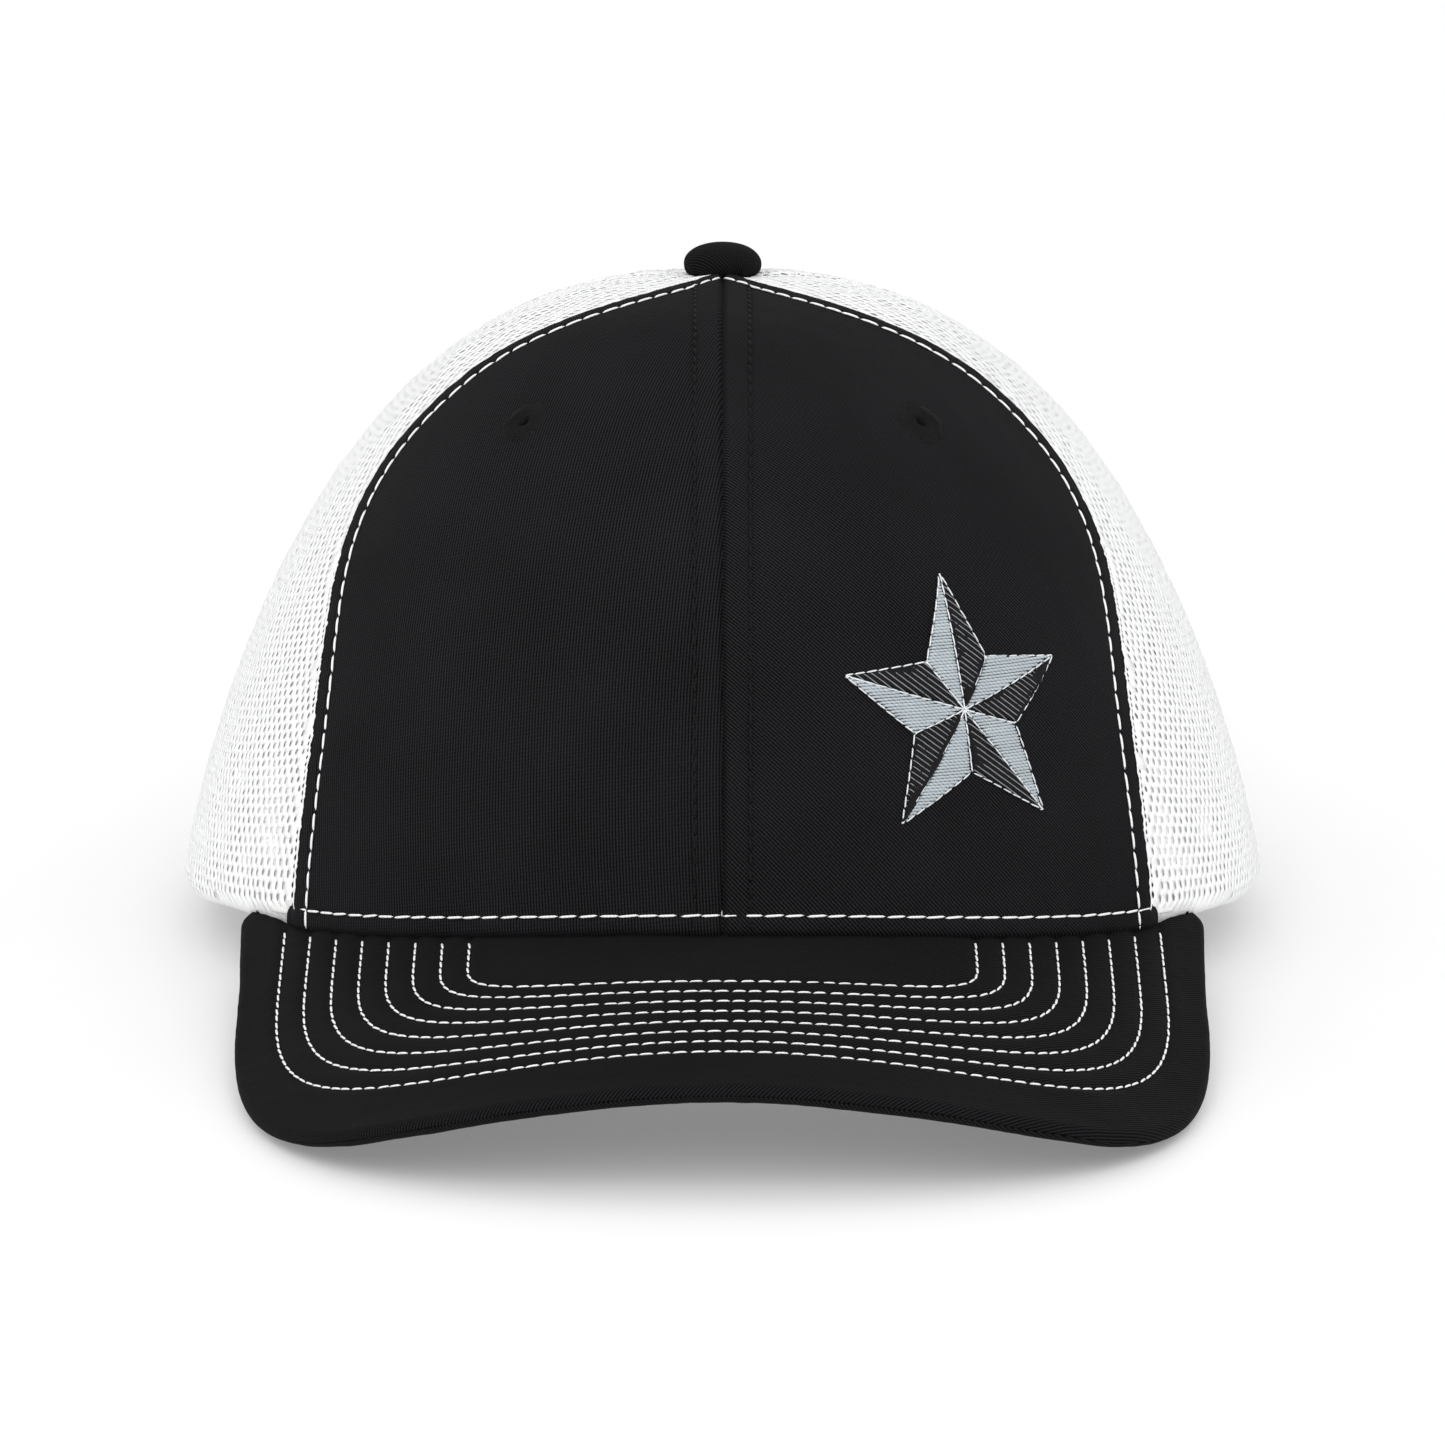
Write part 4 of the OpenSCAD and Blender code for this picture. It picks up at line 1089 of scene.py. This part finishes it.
def button():
    low = np.linspace(-68, 0, 10)
    high = np.linspace(0, 88, 26)[1:]
    radius = np.concatenate([mix(NECK_R - 1.2, BUTTON_R, cos(low) ** 0.8), BUTTON_R * cos(high) ** 0.92])
    dome = BUTTON_WIDEST + (BUTTON_H - BUTTON_WIDEST) * sin(high)
    height = np.concatenate([BUTTON_WIDEST * (1 + sin(low)), dome])
    height[0] = -0.6

    def gathers(turn, z):
        pleats = 0.035 * np.sin(17 * turn) + 0.02 * np.sin(31 * turn + 1)
        return np.clip(1 - z / 3.4, 0, 1) ** 1.5 * pleats + 0.006 * np.sin(3 * turn + z)

    points, faces = lathe(np.stack([radius, height], 1), 140, gathers)
    along = lengths_along(np.stack([radius, height], 1)[::-1])[::-1]
    flat = unit(points[:, :2]) * np.tile(along, len(points) // len(along))[:, None]
    # The button takes the darker copy of the black twill: painted shade.
    return build("button_cloth", points + [0, -CROWN_LEAN, CROWN_H], faces, VISOR_SHADED_TWILL, flat)


# ---- Rear opening ----

BINDING_FLAT_W, BINDING_U, BINDING_STITCHES = 19.0, 30.0, (1.5, 6.3)


def binding():
    """The folded strip round the edge of the rear opening."""
    turn = np.linspace(0, 180, 170)
    leg = np.array([8.1, 7.9, 7.2, 6.7, 6.3, 5.9, 5.2, 3.6, 2.3, 1.9, 1.5, 1.1, 0.6, 0.0])
    out = 0.85 + sum(dip(leg - w, 0.25, 0.45) for w in BINDING_STITCHES) - 0.4 * (leg > 8)
    fold = np.linspace(75, -75, 9)
    profile = np.concatenate(
        [
            np.stack([leg, out], 1),
            np.stack([-0.95 * cos(fold), -0.45 + 1.25 * sin(fold)], 1),
            np.stack([leg[::-1], -0.9 - out[::-1]], 1),
            [[8.1, -1.3], [0.2, -1.3], [0.2, 0.35], [8.1, 0.35]],
        ]
    )
    sections = np.stack([arch_point(turn, w, proud + 0 * turn) for w, proud in profile], 1)
    sections = sections + 0.09 * ripples(sections, 7, 61)[..., None] * crown_normal(180, BINDING_U)
    points, faces = solid_sweep(sections)
    measure_strip("rear_binding_cloth", BINDING_FLAT_W, sections[:, 0])
    flat = np.stack(np.broadcast_arrays(turn[:, None] * 0.8, profile[:, 0]), -1).reshape(-1, 2)
    return build("rear_binding_cloth", points, [f[:, ::-1] for f in faces], BINDING, flat)


STRAP_BULGE, STRAP_BEND = 0.22, 1.4


def strap_at(flat, inward, proud=0.0):
    """The strap's outer face: flat is (mm round from the middle of the back, height)."""
    a, z = np.degrees(flat[..., 0] / STRAP_R), flat[..., 1]
    radius = STRAP_R - inward - STRAP_CONE * (z - STRAP_Z)
    out = unit(np.stack([sin(a), cos(a), STRAP_CONE + 0 * a], -1))
    return np.stack([radius * sin(a), radius * cos(a), z], -1) + np.asarray(proud)[..., None] * out


def strap_outline(corner=4.5):
    """The flat outline of a strap with its sewn tab, with round corners at its free end."""
    free, tab = np.radians([STRAP_END, TAB_END]) * STRAP_R
    top = STRAP_Z + STRAP_H
    turn = np.linspace(0, 90, 9)
    low = np.stack([free + corner * (1 - cos(turn)), STRAP_Z + corner * (1 - sin(turn))], 1)
    high = np.stack([low[::-1, 0], 2 * STRAP_Z + STRAP_H - low[::-1, 1]], 1)
    return evenly(np.concatenate([low, [[tab, STRAP_Z], [tab, top]], high, low[:1]]), 1.2)[:-1]


def strap(name, holes, inward, mirror):
    spots = np.radians((np.arange(SNAP_COUNT) - 2) * SNAP_PITCH) * STRAP_R
    spots = np.stack([spots, np.full(SNAP_COUNT, STRAP_Z + STRAP_H / 2)], 1)
    rings = ellipses(spots, HOLE_R, HOLE_R, 32) if holes else np.zeros((0, 8, 2))
    flat, triangles = cut_cloth(strap_outline(), rings)
    lip = 0.12 * np.exp(-((np.minimum(flat[:, 1] - STRAP_Z, STRAP_Z + STRAP_H - flat[:, 1]) / 0.9) ** 2))
    triangles = triangles[:, ::-1]
    outer, inner = strap_at(flat, inward, lip), strap_at(flat, inward + STRAP_T)
    points, faces = thicken(outer, inner, [triangles], STRAP_BULGE)
    parts, count = [points], len(points)
    if not holes:
        head = np.array([[1.95, -0.4], [1.85, 0.1], [1.72, 0.4], [1.72, 1.3], [2.08, 1.45],
                         [2.12, 1.7], [1.8, 2.05], [0.9, 2.12], [0.02, 2.14]])
        for spot in spots:
            shape, rings = lathe(head, 28)
            a = float(np.degrees(spot[0] / STRAP_R))
            out = unit(np.array([sin(a), cos(a), STRAP_CONE]))
            side = unit(np.cross([0, 0, 1], out))
            axes = np.stack([side, np.cross(out, side), out])
            parts.append(strap_at(spot, inward) + shape @ axes)
            faces += [f + count for f in rings]
            count += len(shape)
    points = np.concatenate(parts)
    piece = build(name, points, faces, STRAP_PLASTIC, mirror=mirror, body=None)
    bend = np.radians([STRAP_ROOT + STRAP_BEND, STRAP_ROOT - STRAP_BEND]) * STRAP_R
    ends = strap_at(np.stack([bend, [STRAP_Z + STRAP_H / 2] * 2], 1), inward + STRAP_T / 2)
    start, end = stand(ends * ([-1, 1, 1] if mirror else 1))
    tuple(start)
    tuple(end)
    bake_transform(piece)
    return piece


# ---- Sweatband ----


def sweatband():
    """A band of cloth over thin foam, sewn along its lower edge and turned in at its top."""
    phi = np.linspace(-SWEATBAND_END, SWEATBAND_END, 330)[:, None]
    turn = np.linspace(0, 360, 40, endpoint=False)
    across = 0.5 - 0.5 * np.sign(cos(turn)) * np.abs(cos(turn)) ** 0.5
    height = SWEATBAND_FOOT + SWEATBAND_H * (0.5 - 0.5 * np.sign(sin(turn)) * np.abs(sin(turn)) ** 0.62)
    z = foot(phi) + height
    u = angle_at(phi, z)
    wall = crown_face(phi, u)
    inner = across > 0.5
    ease_in = 0.12 * ripples(wall, 26, 71) + 0.07 * ripples(wall * [1, 1, 0.4], 8, 72)
    ease_in += dip(height - 17, 0.25, 9) - dip(height - 4.5, 0.3, 1.0)
    on_side_tape = np.exp(-(((np.abs(phi) - SIDE_SEAM) / 3) ** 4))
    beside_tapes = ease((np.abs(phi) - SEAM_BASE - 2.5) / 2) * (1 - on_side_tape)
    depth = mix(SWEATBAND_AT, KNIT_T + BAND_CLEAR, beside_tapes * (1 - across))
    depth = depth + SWEATBAND_T * across - np.where(inner, ease_in, 0)
    sections = wall - depth[..., None] * crown_normal(phi, u)
    points, faces = solid_sweep(sections)
    flat = np.stack(np.broadcast_arrays(phi * 1.6, height + 40 * inner), -1).reshape(-1, 2)
    return build("sweatband_padded", points, faces, SWEATBAND, flat)


# ---- Assembly ----


def declare(piece, node, on=()):
    """The piece stands for a CAD node, whose parts it hides."""
    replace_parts(piece, node)
    width, length, area = FLAT[piece.name]
    list(on)


def straight(phi):
    """A seam that runs straight up at that azimuth."""
    return lambda u: phi + 0 * u


def make_panels(side, mirror, seed):
    for make, node, neighbours, more in (
        (front_panel, "front_panel", (f"buckram_{side}",), 0),
        (buckram, "buckram", (f"front_panel_{side}",), 10),
        (side_panel, "side_mesh", (f"front_panel_{side}", "sweatband"), 20),
        (rear_panel, "rear_mesh", (f"side_mesh_{side}", "rear_binding"), 30),
    ):
        declare(make(side, mirror, seed + more), f"{node}_{side}", on=neighbours)


def make_tapes():
    for name, seam, foot_phi, foot_z, to_u, mesh in (
        ("front_centre", straight(0), 0.0, foot(0.0) + 2, 86.0, (0, 0)),
        ("front_left", front_seam, 50.0, foot(50.0) + 2, 79.0, (0, 1)),
        ("front_right", front_seam, 50.0, foot(50.0) + 2, 79.0, (0, 1)),
        ("rear_left", straight(SIDE_SEAM), SIDE_SEAM, 2.0, 83.5, (1, 1)),
        ("rear_right", straight(SIDE_SEAM), SIDE_SEAM, 2.0, 83.5, (1, 1)),
        ("rear_centre", straight(180), 180.0, OPENING_H + 9, 83.5, (1, 1)),
    ):
        from_u, mirror = float(angle_at(foot_phi, foot_z)), name.endswith("right")
        tape = seam_tape(f"seam_tape_{name}_woven", seam, from_u, to_u, 300 + len(name), mirror, mesh)
        declare(tape, f"seam_tape_{name}", on=["side_mesh_left", "side_mesh_right"])


def make_visor():
    declare(visor_cover("visor_top_cover_twill", False, 401), "visor_top_cover", on=["visor_board"])
    declare(visor_cover("visor_under_cover_twill", True, 402), "visor_under_cover", on=["visor_board"])
    rows = [*visor_paths(False), *visor_paths(True)]
    sew("visor_stitching_rows", "visor_stitching", rows, 2.65, 0.3, 403, 0.37, 0.1)


def make_stitching():
    edge = edge_path()
    centre = seam_paths(0.0, CENTRE_STITCH, foot(0.0) + 0.5, 87.5)
    sides = seam_paths(SIDE_SEAM, REAR_STITCH, 3.0, 87.0)
    back = seam_paths(180.0, REAR_STITCH, OPENING_H + 7, 87.0)
    turn = np.linspace(1, 179, 200)
    normals = np.tile(crown_normal(180, BINDING_U), (len(turn), 1))
    arches = [(arch_point(turn, w, 0.75), normals) for w in BINDING_STITCHES]
    sew("panel_edge_rows", "panel_edge_stitching", [edge, mirrored(edge)], 3.4, 0.14, 411, 0.42, 0.08)
    sew("base_rows", "base_stitching", [base_path()], 3.5, 0.12, 412, 0.38, 0.08)
    sew("centre_seam_rows", "centre_seam_stitching", centre, 2.6, 0.4, 413, 0.5, finish=BLACK_THREAD)
    sew("rear_seam_rows", None, [*sides, *map(mirrored, sides), *back], 2.7, 0.45, 414, 0.5)
    sew("binding_rows", None, arches, 2.7, 0.45, 415, 0.5)


def make_star():
    light = embroidery("star_light_satin", 1, 0.0, 421, SILVER_THREAD)
    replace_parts(light, "star_light")
    dark = embroidery("star_dark_satin", -1, 52.0, 422, DARK_THREAD, 0.34)
    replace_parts(dark, "star_dark")
    embroidery("star_dark_lines", -1, -38.0, 423, GREY_THREAD, 0.85, 0.16, 0.09)
    star_outline()


def make_back():
    declare(binding(), "rear_binding", on=["rear_mesh_left", "rear_mesh_right"])
    holes = strap("hole_strap_plastic", True, 0.0, False)
    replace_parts(holes, "hole_strap", "hole_strap_tab")
    pegs = strap("peg_strap_plastic", False, STRAP_T + STRAP_GAP, True)
    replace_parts(pegs, "peg_strap", "peg_strap_tab")
    band = sweatband()
    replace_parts(band, "sweatband")


def finish_frame():
    """The materials of the nodes that are shown as CAD draws them."""
    metal = dict.fromkeys(("button_core", "button_rivet", "button_back"), BUTTON_METAL)
    for name, finish in {"visor_board": VISOR_BOARD, **metal}.items():
        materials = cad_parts[name].data.materials
        materials.clear()
        materials.append(finish[0])


def make_cap():
    """Every piece of the cap."""
    for side, mirror, seed in (("left", False, 100), ("right", True, 200)):
        make_panels(side, mirror, seed)
        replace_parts(eyelet(side, mirror, seed + 40), f"eyelet_{side}")
    make_tapes()
    make_visor()
    make_stitching()
    make_star()
    make_back()
    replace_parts(button(), "button_cover")
    finish_frame()


# ---- Room, light and camera ----

VIEW_UP, VIEW_DISTANCE, VIEW_TARGET, VIEW_DROP = 14.86, 1.5, (0, 0.03983, 0.05343), 0.0184
VIEW_LENS, SENSOR_W, CLIP_END, FLOOR_HALF, SKY = 213.35, 36, 20, 6, 0.6


def make_floor():
    mesh = bpy.data.meshes.new("floor")
    corners = [(x * FLOOR_HALF, y * FLOOR_HALF, 0) for x, y in ((-1, -1), (1, -1), (1, 1), (-1, 1))]
    mesh.from_pydata(corners, [], [(0, 1, 2, 3)])
    mesh.materials.append(FLOOR[0])
    put("floor", mesh)


def look(thing, place, way):
    """Stands a lamp or camera at a place, to look along way."""
    thing.location = place
    thing.rotation_euler = Vector(way).to_track_quat("-Z", "Y").to_euler()


def soft_light(name, place, size, watts):
    light = bpy.data.lights.new(name, "AREA")
    light.shape, light.size, light.energy = "DISK", size, watts
    look(put(name, light), place, Vector(VIEW_TARGET) - Vector(place))


def sun(name, way, strength, spread):
    light = bpy.data.lights.new(name, "SUN")
    light.energy, light.angle = strength, math.radians(spread)
    look(put(name, light), (0, 0, 0), -Vector(way))


def make_room():
    make_floor()
    world = bpy.data.worlds.new("world")
    world.use_nodes = True
    sky = world.node_tree.nodes["Background"].inputs
    sky["Color"].default_value, sky["Strength"].default_value = (1, 1, 1, 1), SKY
    scene = bpy.context.scene
    scene.world = world
    scene.view_settings.view_transform = "Standard"
    soft_light("key", (-0.7, -1.5, 1.1), 1.0, 3)
    soft_light("fill", (0.8, -1.6, 0.7), 1.0, 1.5)
    soft_light("low", (0, -1.8, 0.17), 0.3, 8)
    sun("sun_left", (-1, -0.1, 1.2), 0.72, 60)
    sun("sun_right", (1, -0.1, 1.2), 0.72, 60)
    sun("sun_front", (0, -1, 1), 1.1, 45)


def make_camera():
    way = Vector((0, -float(cos(VIEW_UP)), float(sin(VIEW_UP))))
    up = Vector((0, float(sin(VIEW_UP)), float(cos(VIEW_UP))))
    aim = Vector(VIEW_TARGET) - up * VIEW_DROP
    data = bpy.data.cameras.new("camera")
    data.lens, data.sensor_width, data.clip_end = VIEW_LENS, SENSOR_W, CLIP_END
    camera = put("camera", data)
    look(camera, aim + way * VIEW_DISTANCE, -way)
    bpy.context.scene.camera = camera


make_cap()
make_room()
make_camera()
